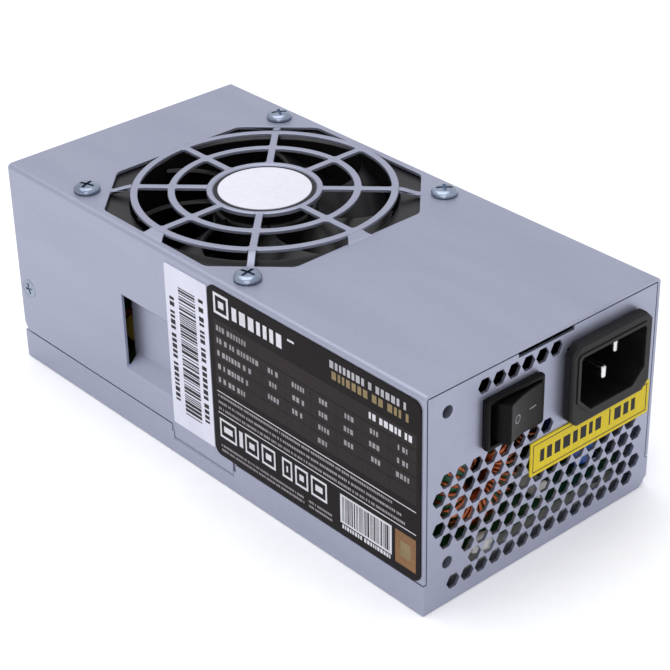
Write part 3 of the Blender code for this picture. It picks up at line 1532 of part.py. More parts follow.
def make_board_parts():
    """Everything else that stands on the board."""
    for index, distance in enumerate(DISC_CAPACITORS_FROM_PANEL):
        disc_capacitor(f"y_capacitor_{index + 1}", END_X - distance, panel_y(DISC_CAPACITOR_Y))
    near_end = END_X - X_CAPACITOR_FROM_PANEL
    across = panel_y(X_CAPACITOR_Y)
    standing_block("x_capacitor", X_CAPACITOR, near_end, across, 0.6 * MM, CAPACITOR_YELLOW)
    near_end = END_X - BRIDGE_FROM_PANEL
    across = panel_y(BRIDGE_Y)
    standing_block("bridge_rectifier", BRIDGE, near_end, across, 0.5 * MM, BLACK_PLASTIC)
    fuse_end = END_X - FUSE_FROM_PANEL
    height = SEAT + 3.0 * MM
    across = panel_y(FUSE_Y)
    fuse = rod(FUSE_RADIUS, (fuse_end - FUSE_LENGTH, across, height), (fuse_end, across, height), 16)
    finish(fuse, "fuse", CLEAR_FILM, smooth=True)
    capacitor(
        "bulk_capacitor", END_X - BULK_CAPACITOR_FROM_PANEL, panel_y(BULK_CAPACITOR_Y), BULK_CAPACITOR
    )
    for index, across in enumerate(OUTPUT_CAPACITORS_Y):
        x = OUTPUT_CAPACITORS_FROM_END - BOARD_HALF_X
        capacitor(f"output_capacitor_{index + 1}", x, panel_y(across), OUTPUT_CAPACITOR)

    length, distance, across = PRIMARY_HEATSINK
    end = END_X - distance
    y = panel_y(across)
    heatsink("primary_heatsink", end - length, end, y, 1)
    transistor("switching_transistor", end - length / 2 + 2.0 * MM, y, -1)
    length, distance, across = SECONDARY_HEATSINK
    start = distance - BOARD_HALF_X
    y = panel_y(across)
    heatsink("secondary_heatsink", start, start + length, y, -1)
    transistor("output_rectifier", start + length / 2, y, 1)


def make_inlet_wires():
    """Leads from the inlet's blades down to the board."""
    places = inlet_pin_places()
    tail = inlet_back() - PIN_TAIL - FIT_GAP
    for name, pin, drop_y, surface in (
        ("inlet_wire_live", "inlet_pin_live", 10.0 * MM, WIRE_BROWN),
        ("inlet_wire_neutral", "inlet_pin_neutral", 30.0 * MM, WIRE_BLUE),
    ):
        y, z, _ = places[pin]
        points = [
            (tail - WIRE_RADIUS, y, z),
            (tail - 4.0 * MM, y, z - 1.0 * MM),
            (tail - 7.0 * MM, (y + drop_y) / 2, z - 9.0 * MM),
            (tail - 5.0 * MM, drop_y, SEAT + 12.0 * MM),
            (tail - 2.0 * MM, drop_y, SEAT + 0.4 * MM),
        ]
        wire(name, points, surface)


def make_grommet():
    """Bush in the cable end wall: a short tube with a flange outside."""
    outside = -END_X - FIT_GAP
    outer = GROMMET_BORE + GROMMET_WALL
    lip = outer + 1.0 * MM
    inside = -END_X + SHEET + FIT_GAP
    profile = [
        (GROMMET_BORE, GROMMET_FLANGE_THICKNESS),
        (GROMMET_FLANGE - 0.5 * MM, GROMMET_FLANGE_THICKNESS),
        (GROMMET_FLANGE, GROMMET_FLANGE_THICKNESS - 0.5 * MM),
        (GROMMET_FLANGE, 0.0),
        (outer, 0.0),
        (outer, outside - inside),
        (lip, outside - inside),
        (outer, outside - inside - 2.0 * MM),
        (GROMMET_BORE, outside - inside - 2.0 * MM),
    ]
    bush = turned(profile, 24)
    bush.location = (outside, 0.0, GROMMET_HEIGHT)
    bush.rotation_euler = (0.0, math.radians(-90.0), 0.0)
    return finish(bush, "cable_grommet", BLACK_PLASTIC, smooth=True)


# ---------------------------------------------------------------- the unit
clear_scene()
UNIT = make_collection("power_supply_unit")
CUTTERS = make_collection("cutters")

STEEL = material("zinc_plated_steel", 0.36, 0.375, 0.46, 0.42, 0.85)
ZINC = material("bright_zinc", 0.62, 0.66, 0.72, 0.25, 1.0)
BRIGHT_STEEL = material("bright_steel", 0.7, 0.7, 0.7, 0.2, 1.0)
BRASS = material("brass", 0.72, 0.55, 0.25, 0.3, 1.0)
BRONZE = material("sintered_bronze", 0.5, 0.33, 0.18, 0.45, 1.0)
COPPER = material("enamelled_copper", 0.6, 0.2, 0.07, 0.3, 0.8)
ALUMINIUM = material("aluminium", 0.65, 0.66, 0.68, 0.4, 1.0)
BLACK_PLASTIC = material("black_plastic", 0.011, 0.009, 0.01, 0.45)
WHITE_PLASTIC = material("white_badge", 0.75, 0.74, 0.8, 0.4)
LABEL_BLACK = material("black_label", 0.02, 0.016, 0.017, 0.4)
PAPER_WHITE = material("white_label", 0.7, 0.7, 0.75, 0.6)
STICKER_YELLOW = material("yellow_sticker", 0.68, 0.53, 0.02, 0.5)
GREEN_BOARD = material("green_board", 0.02, 0.14, 0.05, 0.4)
CLEAR_FILM = material("clear_film", 0.6, 0.6, 0.55, 0.3)
GREEN_COATING = material("green_core_coating", 0.03, 0.25, 0.1, 0.4)
CORE_YELLOW = material("yellow_core_coating", 0.6, 0.45, 0.05, 0.4)
DARK_FERRITE = material("ferrite", 0.03, 0.03, 0.032, 0.6)
SILICONE_WHITE = material("white_silicone", 0.7, 0.7, 0.68, 0.5)
TAPE_YELLOW = material("transformer_tape", 0.65, 0.45, 0.05, 0.35)
CAPACITOR_YELLOW = material("film_capacitor", 0.7, 0.55, 0.05, 0.4)
BLUE_LACQUER = material("blue_lacquer", 0.02, 0.1, 0.45, 0.3)
SLEEVE_BLACK = material("capacitor_sleeve", 0.015, 0.015, 0.018, 0.35)
WIRE_BROWN = material("brown_insulation", 0.12, 0.04, 0.02, 0.45)
WIRE_BLUE = material("blue_insulation", 0.02, 0.08, 0.4, 0.45)

make_base_chassis()
make_top_cover()
make_hub_badge()
make_fan_frame()
make_fan_rotor()
make_fan_internals()
make_screws()
make_inlet()
make_switch()
make_rocker()
make_labels()
make_board()
make_board_parts()
make_chokes()
make_transformer()
make_inlet_wires()
make_grommet()
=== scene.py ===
"""Looks of a compact desktop power supply unit, laid out as an add-on and run as a script.

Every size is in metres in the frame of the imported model: +X towards the mains inlet, +Z up.
"""

import math
import random
from typing import NamedTuple

import bmesh
import bpy
from bpy.props import FloatProperty, FloatVectorProperty, IntProperty, PointerProperty, StringProperty
from mathutils import Matrix, Vector


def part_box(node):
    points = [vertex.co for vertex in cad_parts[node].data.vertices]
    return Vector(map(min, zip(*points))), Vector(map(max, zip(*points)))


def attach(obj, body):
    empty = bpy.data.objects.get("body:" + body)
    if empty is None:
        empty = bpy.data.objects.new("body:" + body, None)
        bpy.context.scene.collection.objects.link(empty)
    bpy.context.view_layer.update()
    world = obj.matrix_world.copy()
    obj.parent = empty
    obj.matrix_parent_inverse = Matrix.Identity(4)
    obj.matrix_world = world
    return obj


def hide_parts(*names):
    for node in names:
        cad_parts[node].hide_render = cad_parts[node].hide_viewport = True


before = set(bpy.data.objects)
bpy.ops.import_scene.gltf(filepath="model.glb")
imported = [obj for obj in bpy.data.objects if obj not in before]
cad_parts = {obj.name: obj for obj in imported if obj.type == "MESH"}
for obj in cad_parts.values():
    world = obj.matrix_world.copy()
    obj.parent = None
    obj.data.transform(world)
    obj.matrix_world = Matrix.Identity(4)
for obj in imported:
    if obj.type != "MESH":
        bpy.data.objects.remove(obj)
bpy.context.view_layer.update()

bl_info = {
    "name": "Power Supply Unit",
    "version": (1, 0, 0),
    "blender": (4, 5, 0),
    "location": "View3D > Sidebar > Power Supply",
    "description": "Builds the visible surfaces of a compact desktop power supply unit",
    "category": "Object",
}

MM = 0.001
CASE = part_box("base_chassis")
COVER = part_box("top_cover")
END_X = CASE[1][0]
SIDE_Y = CASE[1][1]
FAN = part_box("fan_frame")
FAN_CENTRE = Vector(((FAN[0][0] + FAN[1][0]) / 2, 0.0, 0.0))
GRILLE_TOP = COVER[1][2]
CAD_CREASE = 35.0  # degrees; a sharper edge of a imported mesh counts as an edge


# ------------------------------------------------------------------ settings
def length_field(name, description, millimetres):
    """Property for a length, kept in metres."""
    return FloatProperty(name=name, description=description, default=millimetres * MM, unit="LENGTH")


def angle_field(name, description, degrees):
    """Property for an angle, kept in radians."""
    return FloatProperty(name=name, description=description, default=math.radians(degrees), subtype="ANGLE")


def colour_field(name, description, value):
    """Property for a colour, kept as sRGB hex."""
    return StringProperty(name=name, description=f"{description} as sRGB hex", default=value)


class CaseSettings(bpy.types.PropertyGroup):
    """Sheet-metal case."""

    sheet: length_field("Sheet", "Sheet thickness", 1.0)
    height: length_field("Height", "Case height", 65.0)
    fold: length_field("Fold", "Outside fold radius", 1.5)
    strip: length_field("Strip", "Height of the side strip", 9.2)
    seam: length_field("Seam", "Gap between cover and strip", 0.4)
    edge: length_field("Edge", "Softened sheet edge", 0.14)
    corner: length_field("Corner", "Round skirt corner", 3.0)
    fan_screw_length: length_field("Fan screw", "Shank length", 9.0)
    colour: colour_field("Steel", "Steel colour", "A2A5B6")


class GrilleSettings(bpy.types.PropertyGroup):
    """Stamped fan grille."""

    opening: length_field("Opening", "Across flats", 79.0)
    chamfer: length_field("Chamfer", "Cut corners", 17.0)
    bar: length_field("Bar", "Width of the bars", 2.0)
    inner_ring: length_field("Inner ring", "Middle radius", 26.3)
    outer_ring: length_field("Outer ring", "Middle radius", 36.8)
    hub: length_field("Hub", "Radius of the middle disc", 16.4)
    badge: length_field("Badge", "Radius of the badge", 13.4)
    fillet: length_field("Fillet", "Inside corner radius", 0.8)
    spokes: IntProperty(name="Spokes", description="Number of spokes", default=8)


class FanSettings(bpy.types.PropertyGroup):
    """Axial fan under the grille."""

    blades: IntProperty(name="Blades", description="Number of blades", default=7)
    hub: length_field("Hub", "Radius of the rotor cup", 15.0)
    tip: length_field("Tip", "Radius of the blade tips", 36.55)
    blade_low: length_field("Low", "Lower blade edge", 47.5)
    blade_high: length_field("High", "Upper blade edge", 61.6)
    sweep: angle_field("Sweep", "Sweep at the tip", 16.0)
    twist: angle_field("Twist", "Turn along a blade", 44.0)
    blade: length_field("Blade", "Blade thickness", 1.3)
    hole_pitch: length_field("Hole pitch", "Screw spacing", 71.5)
    colour: colour_field("Plastic", "Fan colour", "131113")


class PanelSettings(bpy.types.PropertyGroup):
    """Mains inlet and rocker switch."""

    tilt: angle_field("Tilt", "Rocker tilt at rest", 11.0)
    pivot_depth: length_field("Pivot", "Pivot behind the panel", 4.5)
    black: colour_field("Black", "Moulding colour", "141112")


class LabelSettings(bpy.types.PropertyGroup):
    """Printed labels; every mark on them is a plain block."""

    seed: IntProperty(name="Seed", description="Seed of the block widths", default=7)
    black: colour_field("Black film", "Rating label colour", "1B1617")
    yellow: colour_field("Yellow film", "Sticker colour", "D0B917")


class StageSettings(bpy.types.PropertyGroup):
    """Floor, light and camera."""

    key: FloatProperty(name="Key", description="Power of the overhead light", default=4.0, unit="POWER")
    fill: FloatProperty(name="Fill", description="Power of the front light", default=2.4, unit="POWER")
    world: FloatProperty(name="World", description="Strength of the white surroundings", default=0.97)
    azimuth: angle_field("Azimuth", "Camera azimuth", 48.85)
    elevation: angle_field("Elevation", "Camera height", 30.62)
    roll: angle_field("Roll", "Camera roll", 1.19)
    lens: FloatProperty(name="Lens", description="Focal length in mm", default=104.95)
    distance: length_field("Distance", "Camera distance along its axis", 570.31)
    aim: FloatVectorProperty(
        name="Aim", description="Sideways and upward offset of the camera", default=(0.0045, 0.02341), size=2
    )


SETTINGS = {
    "psu_case": CaseSettings,
    "psu_grille": GrilleSettings,
    "psu_fan": FanSettings,
    "psu_panel": PanelSettings,
    "psu_label": LabelSettings,
    "psu_stage": StageSettings,
}


# ------------------------------------------------------------------ materials
def linear(hex_colour):
    """sRGB hex to linear RGBA."""
    values = []
    for start in (0, 2, 4):
        value = int(hex_colour[start:start + 2], 16) / 255.0
        values.append(value / 12.92 if value <= 0.04045 else ((value + 0.055) / 1.055) ** 2.4)
    return (*values, 1.0)


def add(tree, kind, inputs=None, **settings):
    """Add one node with its settings and its values or links.

    A node given as a value stands for its first output.
    """
    node = tree.nodes.new(kind)
    for name, value in settings.items():
        setattr(node, name, value)
    for socket, value in (inputs or {}).items():
        target = node.inputs[socket]
        value = value.outputs[0] if isinstance(value, bpy.types.Node) else value
        if isinstance(value, bpy.types.NodeSocket):
            tree.links.new(value, target)
        else:
            target.default_value = value
    return node


class Finish(NamedTuple):
    """What a finish is made of: grain and relief are in millimetres, the rest as the shader takes it.

    The colour, roughness and relief vary with grain-sized patches. A colour written as group.field is
    read from the settings, and stretch draws the grain out along the axes, as rolling or brushing does.
    """

    dark: str
    light: str
    grain: float
    roughness: float
    spread: float = 0.08
    relief: float = 0.0
    metallic: float = 0.0
    coat: float = 0.0
    stretch: tuple = ()
    specular: float = 0.5


FINISHES = {
    # Electro-galvanised sheet: pale blue-grey, satin, with a fine rolled grain along X.
    "zinc_plated_steel": Finish(
        "9A9DAF", "psu_case.colour", 0.5, 0.44, spread=0.02, relief=0.003, metallic=0.8,
        stretch=(0.25, 1.0, 1.0),
    ),
    # Barrel-plated screws: bright, slightly blue, with small tumbling marks.
    "bright_zinc": Finish("727C8E", "A6B1C2", 0.35, 0.26, relief=0.006, metallic=1.0),
    # Plated brass blades: smooth and bright with faint drawing lines.
    "nickel_plate": Finish(
        "BDBDBE", "E4E4E2", 0.3, 0.2, spread=0.05, relief=0.002, metallic=1.0, stretch=(0.2, 1.0, 1.0)
    ),
    # Bare brass terminals, a little dulled.
    "stamped_brass": Finish("A98445", "D2B06A", 0.4, 0.3, spread=0.06, relief=0.003, metallic=1.0),
    # Porous oil-filled bearing metal.
    "sintered_bronze": Finish("7E5A3C", "A87D55", 0.2, 0.5, relief=0.01, metallic=0.9),
    # Winding wire: copper under clear amber enamel, so it is bright with a coat.
    "enamelled_copper": Finish("A8512A", "D9824E", 0.6, 0.28, spread=0.05, metallic=0.85, coat=0.4),
    # Extruded heatsink metal with die lines along X.
    "mill_aluminium": Finish(
        "A3A6AC", "CFD2D6", 0.4, 0.38, spread=0.06, relief=0.004, metallic=1.0, stretch=(0.08, 1.0, 1.0)
    ),
    # Glass-filled nylon of the inlet: black, semi-matt, with a fine spark-eroded grain.
    "moulded_black": Finish(
        "0B090A", "psu_panel.black", 0.25, 0.46, spread=0.05, relief=0.006, specular=0.25
    ),
    # Polished nylon of the switch: deep black with a soft gloss.
    "switch_black": Finish("060505", "0C090A", 0.8, 0.34, spread=0.03, relief=0.001, specular=0.1),
    # Polyester fan moulding: black with an even sheen and faint flow marks.
    "fan_black": Finish("09080A", "psu_fan.colour", 1.2, 0.34, spread=0.05, relief=0.003, specular=0.3),
    # Printed white disc under clear lacquer.
    "badge_white": Finish("C9C8D2", "D4D3DD", 1.5, 0.4, spread=0.03),
    # Black ring laid in the groove round the badge: painted shade of that groove, not print.
    "rim_black": Finish("17161A", "232128", 0.6, 0.45, spread=0.04, specular=0.2),
    # Black printed polyester film, slightly glossy.
    "label_black": Finish("151112", "psu_label.black", 1.0, 0.5, spread=0.04, relief=0.001, specular=0.08),
    # Brown-grey printed block on the black film.
    "label_panel": Finish("211C1C", "2A2424", 1.0, 0.5, spread=0.04, relief=0.001, specular=0.1),
    # Hairlines between the cells of the printed block, barely darker than it.
    "label_rule": Finish("151112", "1C1718", 1.0, 0.5, spread=0.04, specular=0.12),
    # White ink on film.
    "print_white": Finish("BDBCC2", "D2D1D7", 0.6, 0.5, spread=0.04, specular=0.2),
    # Small print that reads as mid grey.
    "print_grey": Finish("7D787C", "9A959A", 0.5, 0.5, spread=0.04, specular=0.2),
    # Thin silver ink.
    "print_silver": Finish("8E8D92", "A9A8AD", 0.5, 0.4, spread=0.04),
    # Dull gold ink.
    "print_gold": Finish("6F6040", "897753", 0.5, 0.45, spread=0.04, specular=0.2),
    # Bronze-coloured ink of the blank square.
    "print_bronze": Finish("6B4A2C", "86623C", 0.6, 0.45, spread=0.04, specular=0.2),
    # Black ink on paper or vinyl.
    "print_black": Finish("131114", "201E22", 0.5, 0.5, spread=0.04, specular=0.2),
    # Coated white paper with a trace of fibre.
    "label_paper": Finish("C6C7D4", "D3D4E0", 0.35, 0.6, spread=0.04, relief=0.003, specular=0.3),
    # Yellow vinyl.
    "sticker_yellow": Finish(
        "BFA912", "psu_label.yellow", 1.2, 0.5, spread=0.04, relief=0.002, specular=0.25
    ),
    # Solder mask over glass cloth.
    "board_green": Finish("173D22", "24592F", 0.6, 0.35, spread=0.05, relief=0.01, coat=0.3),
    # Milky insulating film and glass.
    "clear_film": Finish("BDBDB6", "D3D3CC", 1.0, 0.3, spread=0.05),
    # Epoxy-coated powder core, green.
    "core_green": Finish("1E5A38", "2F7A4E", 0.5, 0.4, spread=0.06, relief=0.02),
    # Epoxy-coated powder core, yellow.
    "core_yellow": Finish("B79A2F", "D3B84A", 0.5, 0.4, spread=0.06, relief=0.02),
    # Sintered ferrite: charcoal and slightly sparkling.
    "ferrite": Finish("222224", "343437", 0.3, 0.5, relief=0.01, metallic=0.2),
    # White silicone bead with a skinned, lumpy surface.
    "silicone": Finish("CFCFC8", "E8E8E2", 1.5, 0.4, spread=0.06, relief=0.15),
    # Yellow polyester tape over a winding, with lap marks.
    "winding_tape": Finish(
        "C09A22", "DDBB3E", 0.8, 0.3, spread=0.05, relief=0.01, coat=0.3, stretch=(1.0, 1.0, 0.2)
    ),
    # Moulded yellow box of a film capacitor.
    "film_case": Finish("C7AA24", "DDC23C", 0.4, 0.42, spread=0.05, relief=0.004),
    # Dipped blue lacquer, uneven and glossy.
    "blue_lacquer": Finish("153C8A", "2C62B8", 2.0, 0.25, spread=0.05, relief=0.05, coat=0.3),
    # Shrunk black sleeve of a capacitor can.
    "can_sleeve": Finish("111114", "1F1F24", 1.5, 0.3, spread=0.05, relief=0.005),
    # Brown vinyl lead insulation.
    "brown_insulation": Finish("4A2A1A", "653B26", 0.6, 0.45, spread=0.05, relief=0.004),
    # Blue vinyl lead insulation.
    "blue_insulation": Finish("173E86", "2659AE", 0.6, 0.45, spread=0.05, relief=0.004),
    # Matt white paint, almost without texture.
    "floor_paint": Finish("FBFBFC", "FFFFFF", 8.0, 0.8, spread=0.02, specular=0.2),
}
CLOUD_SIZE = 25.0  # a broad cloud of tone is as many grains across


def finish(name):
    """The material of one row of the table of finishes, made when it is first asked for."""
    full_name = f"{name}_finish"
    surface = bpy.data.materials.get(full_name)
    if surface:
        return surface
    look = FINISHES[name]
    light = look.light
    if "." in light:
        group, field = light.split(".")
        light = getattr(settings(group), field)
    surface = bpy.data.materials.new(full_name)
    surface.use_nodes = True
    surface.diffuse_color = linear(light)
    tree = surface.node_tree
    tree.nodes.clear()
    place = add(tree, "ShaderNodeTexCoord").outputs["Object"]
    if look.stretch:
        place = add(tree, "ShaderNodeMapping", {"Vector": place, "Scale": look.stretch})
    scale = 1.0 / (look.grain * MM)
    patches = {"Vector": place, "Scale": scale, "Detail": 4.0, "Roughness": 0.6}
    patches = add(tree, "ShaderNodeTexNoise", patches)
    clouds = {"Vector": place, "Scale": scale / CLOUD_SIZE, "Detail": 2.0}
    clouds = add(tree, "ShaderNodeTexNoise", clouds)
    mixed = add(tree, "ShaderNodeMath", {0: patches, 1: clouds}, operation="ADD")
    share = add(tree, "ShaderNodeMapRange", {"Value": mixed, "From Min": 0.7, "From Max": 1.3})
    colour = add(tree, "ShaderNodeMix", {0: share, 6: linear(look.dark), 7: linear(light)}, data_type="RGBA")
    limits = {"To Min": look.roughness - look.spread, "To Max": look.roughness + look.spread}
    rough = add(tree, "ShaderNodeMapRange", {"Value": mixed, "From Min": 0.6, "From Max": 1.4, **limits})
    values = {
        "Base Color": colour.outputs[2],
        "Roughness": rough,
        "Metallic": look.metallic,
        "Coat Weight": look.coat,
        "Specular IOR Level": look.specular,
    }
    if look.relief:
        bump = {"Height": patches, "Strength": 0.5, "Distance": look.relief * MM}
        values["Normal"] = add(tree, "ShaderNodeBump", bump)
    add(tree, "ShaderNodeOutputMaterial", {"Surface": add(tree, "ShaderNodeBsdfPrincipled", values)})
    return surface


# ------------------------------------------------------------------ mesh helpers
def settings(name):
    return getattr(bpy.context.scene, name)


def link(name, mesh):
    obj = bpy.data.objects.new(name, mesh)
    bpy.context.scene.collection.objects.link(obj)
    return obj


def drop(*objects):
    for obj in objects:
        bpy.data.objects.remove(obj, do_unlink=True)


def flatten(obj):
    """The object's evaluated shape as a plain mesh at the origin, with every modifier used up."""
    bpy.context.view_layer.update()
    evaluated = obj.evaluated_get(bpy.context.evaluated_depsgraph_get())
    mesh = bpy.data.meshes.new_from_object(evaluated)
    mesh.transform(obj.matrix_world)
    name = obj.name
    drop(obj)
    return link(name, mesh)


def tidy(mesh, distance=0.004 * MM, planar=True):
    """Merge doubles, dissolve flat facets and point the faces outwards."""
    shape = bmesh.new()
    shape.from_mesh(mesh)
    bmesh.ops.remove_doubles(shape, verts=shape.verts, dist=distance)
    if planar:
        bmesh.ops.dissolve_limit(shape, angle_limit=math.radians(0.6), verts=shape.verts, edges=shape.edges)
    bmesh.ops.recalc_face_normals(shape, faces=shape.faces)
    shape.to_mesh(mesh)
    shape.free()


def soften(obj, width, segments=2, angle=32.0):
    """Bevelled edges, then smooth shading that stops at the sharp ones."""
    if width:
        bevel = obj.modifiers.new("Bevel", "BEVEL")
        bevel.width = width
        bevel.segments = segments
        bevel.limit_method = "ANGLE"
        bevel.angle_limit = math.radians(angle)
        bevel.use_clamp_overlap = False
        bevel.harden_normals = False
        obj = flatten(obj)
    obj.data.shade_smooth()
    obj.data.set_sharp_from_angle(angle=math.radians(angle))
    weighted = obj.modifiers.new("Weighted", "WEIGHTED_NORMAL")
    weighted.mode = "FACE_AREA"
    weighted.weight = 100
    weighted.keep_sharp = True
    return flatten(obj)


def dress(obj, name, surface, body, *nodes, slot=None):
    """Give a finished piece its name and material, tie it to its body and hide the CAD nodes it stands for.
    """
    obj.name = name
    obj.data.name = name
    obj.data.materials.clear()
    obj.data.materials.append(surface)
    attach(obj, body)
    if nodes:
        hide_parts(*nodes)
    return obj


def slot_of(node):
    """The record's material slot of a CAD node."""
    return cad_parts[node].data.materials[0].name.split(".")[0]


def carry(node, name, surface, width, body="case"):
    """A CAD node's shape with softened edges and its own finish, in place of the node."""
    return dress(refined(node, width), name, surface, body, node, slot=slot_of(node))


def made(shape, name):
    """The object that a worked shape becomes."""
    mesh = bpy.data.meshes.new(name)
    shape.to_mesh(mesh)
    shape.free()
    return link(name, mesh)


def boolean(obj, other, operation):
    modifier = obj.modifiers.new(operation, "BOOLEAN")
    modifier.operation = operation
    modifier.solver = "EXACT"
    modifier.object = other
    result = flatten(obj)
    drop(other)
    return result


def cut(obj, *tools):
    for tool in tools:
        obj = boolean(obj, tool, "DIFFERENCE")
    return obj


def block(low, high, name="block"):
    shape = bmesh.new()
    size = [b - a for a, b in zip(low, high)]
    centre = [(a + b) / 2 for a, b in zip(low, high)]
    bmesh.ops.create_cube(shape, size=1.0, matrix=Matrix.Translation(centre) @ Matrix.Diagonal((*size, 1.0)))
    return made(shape, name)


def barrel(radius, start, end, segments=64, end_radius=None):
    """Cylinder or cone between two points."""
    start, end = Vector(start), Vector(end)
    turn = (end - start).to_track_quat("Z", "Y").to_matrix().to_4x4()
    shape = bmesh.new()
    bmesh.ops.create_cone(
        shape,
        cap_ends=True,
        segments=segments,
        radius1=radius,
        radius2=radius if end_radius is None else end_radius,
        depth=(end - start).length,
        matrix=Matrix.Translation((start + end) / 2) @ turn,
    )
    return made(shape, "barrel")


AXES = {
    "X": Matrix(((0, 0, 1, 0), (1, 0, 0, 0), (0, 1, 0, 0), (0, 0, 0, 1))),
    "Y": Matrix(((1, 0, 0, 0), (0, 0, -1, 0), (0, 1, 0, 0), (0, 0, 0, 1))),
    "Z": Matrix.Identity(4),
}


def extrude(outlines, low, high, axis):
    """Flat outline, the others being its holes, made thick between two places on an axis."""
    curve = bpy.data.curves.new("outline", "CURVE")
    curve.dimensions = "2D"
    curve.fill_mode = "BOTH"
    curve.extrude = (high - low) / 2
    for outline in outlines:
        spline = curve.splines.new("POLY")
        spline.points.add(len(outline) - 1)
        for point, (across, up) in zip(spline.points, outline):
            point.co = (across, up, 0.0, 1.0)
        spline.use_cyclic_u = True
    flat = link("outline", curve)
    offset = Vector([(low + high) / 2 if letter == axis else 0.0 for letter in "XYZ"])
    flat.matrix_world = Matrix.Translation(offset) @ AXES[axis]
    solid = flatten(flat)
    tidy(solid.data, planar=False)
    return solid


def arc(x, y, radius, start, end, steps):
    points = []
    for step in range(steps + 1):
        angle = math.radians(start + (end - start) * step / steps)
        points.append((x + radius * math.cos(angle), y + radius * math.sin(angle)))
    return points


def rounded(low_x, low_y, high_x, high_y, radius, steps=8):
    outline = []
    for x, y, start in ((high_x, high_y, 0), (low_x, high_y, 90), (low_x, low_y, 180), (high_x, low_y, 270)):
        centre_x = x - radius if x == high_x else x + radius
        centre_y = y - radius if y == high_y else y + radius
        outline += arc(centre_x, centre_y, radius, start, start + 90, steps)
    return outline


def chamfered(centre, size, cuts):
    """Rectangle with cut corners: cuts are those of the lower and of the upper corners."""
    x, y = centre
    w, h = size[0] / 2, size[1] / 2
    low, high = cuts
    return [
        (x - w + low, y - h), (x + w - low, y - h), (x + w, y - h + low), (x + w, y + h - high),
        (x + w - high, y + h), (x - w + high, y + h), (x - w, y + h - high), (x - w, y - h + low),
    ]


def turned(profile, steps=96, centre=(0, 0, 0)):
    """Turned shape about Z from (radius, height) points that run outwards and down, closed on itself."""
    shape = bmesh.new()
    points = [shape.verts.new((radius, 0.0, height)) for radius, height in profile]
    for first, second in zip(points, points[1:]):
        shape.edges.new((first, second))
    if profile[0][0] > 0.0 or profile[-1][0] > 0.0:
        shape.edges.new((points[-1], points[0]))
    obj = made(shape, "turned")
    obj.location = centre
    screw = obj.modifiers.new("Turn", "SCREW")
    screw.steps = steps
    screw.render_steps = steps
    screw.use_merge_vertices = True
    screw.merge_threshold = 0.001 * MM
    solid = flatten(obj)
    tidy(solid.data, 0.001 * MM, planar=False)
    return solid


def tapered(near, far, axis):
    """Six-sided solid between two rectangles, each given by its low and high corners."""
    obj = block((-0.5, -0.5, -0.5), (0.5, 0.5, 0.5))
    index = "XYZ".index(axis)
    for vertex in obj.data.vertices:
        low, high = near if vertex.co[index] < 0 else far
        vertex.co = [high[i] if vertex.co[i] > 0 else low[i] for i in range(3)]
    return obj


def refined(node, width):
    """A merged copy of a CAD node's mesh with its flat facets joined and its edges softened."""
    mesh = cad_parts[node].data.copy()
    obj = link(f"{node}_copy", mesh)
    tidy(mesh, 0.002 * MM)
    return soften(obj, width, 2, CAD_CREASE)


# ------------------------------------------------------------------ Geometry Nodes
def new_tree(name, sockets):
    tree = bpy.data.node_groups.new(name, "GeometryNodeTree")
    tree.is_modifier = True
    tree.interface.new_socket("Geometry", in_out="INPUT", socket_type="NodeSocketGeometry")
    for label, kind in sockets:
        tree.interface.new_socket(label, in_out="INPUT", socket_type=kind)
    tree.interface.new_socket("Geometry", in_out="OUTPUT", socket_type="NodeSocketGeometry")
    return tree, add(tree, "NodeGroupInput"), add(tree, "NodeGroupOutput")


def apply_tree(obj, tree, values):
    """Run a tree on an object, with its inputs set by identifier, and keep the plain result."""
    modifier = obj.modifiers.new(tree.name, "NODES")
    modifier.node_group = tree
    for item in tree.interface.items_tree:
        if item.in_out == "INPUT" and item.name in values:
            modifier[item.identifier] = values[item.name]
    return flatten(obj)


def end_tree(tree, start, end, geometry):
    """Make the copies real, give them the tree's material and send them out."""
    real = add(tree, "GeometryNodeRealizeInstances", {"Geometry": geometry})
    painted = add(tree, "GeometryNodeSetMaterial", {"Geometry": real, "Material": start.outputs["Material"]})
    tree.links.new(painted.outputs["Geometry"], end.inputs["Geometry"])
    return tree


def round_tree():
    """Repeats the object's own shape round the Z axis."""
    tree = bpy.data.node_groups.get("repeat_round_axis")
    if tree:
        return tree
    tree, start, end = new_tree(
        "repeat_round_axis",
        (("Count", "NodeSocketInt"), ("Start Angle", "NodeSocketFloat"), ("Material", "NodeSocketMaterial")),
    )
    count = start.outputs["Count"]
    centre = add(tree, "GeometryNodeMeshLine", {"Count": count, "Offset": (0.0, 0.0, 0.0)})
    index = add(tree, "GeometryNodeInputIndex")
    step = add(tree, "ShaderNodeMath", {0: math.tau, 1: count}, operation="DIVIDE")
    terms = {0: index, 1: step, 2: start.outputs["Start Angle"]}
    angle = add(tree, "ShaderNodeMath", terms, operation="MULTIPLY_ADD")
    turn = add(tree, "ShaderNodeCombineXYZ", {"Z": angle})
    copies = {"Points": centre, "Instance": start.outputs["Geometry"], "Rotation": turn}
    return end_tree(tree, start, end, add(tree, "GeometryNodeInstanceOnPoints", copies))


def repeat_round(obj, count, surface, start=0.0, centre=FAN_CENTRE):
    """Copies of a shape round a vertical axis, as one plain mesh."""
    values = {"Count": count, "Start Angle": start, "Material": surface}
    ring = apply_tree(obj, round_tree(), values)
    ring.data.transform(Matrix.Translation(centre))
    return ring


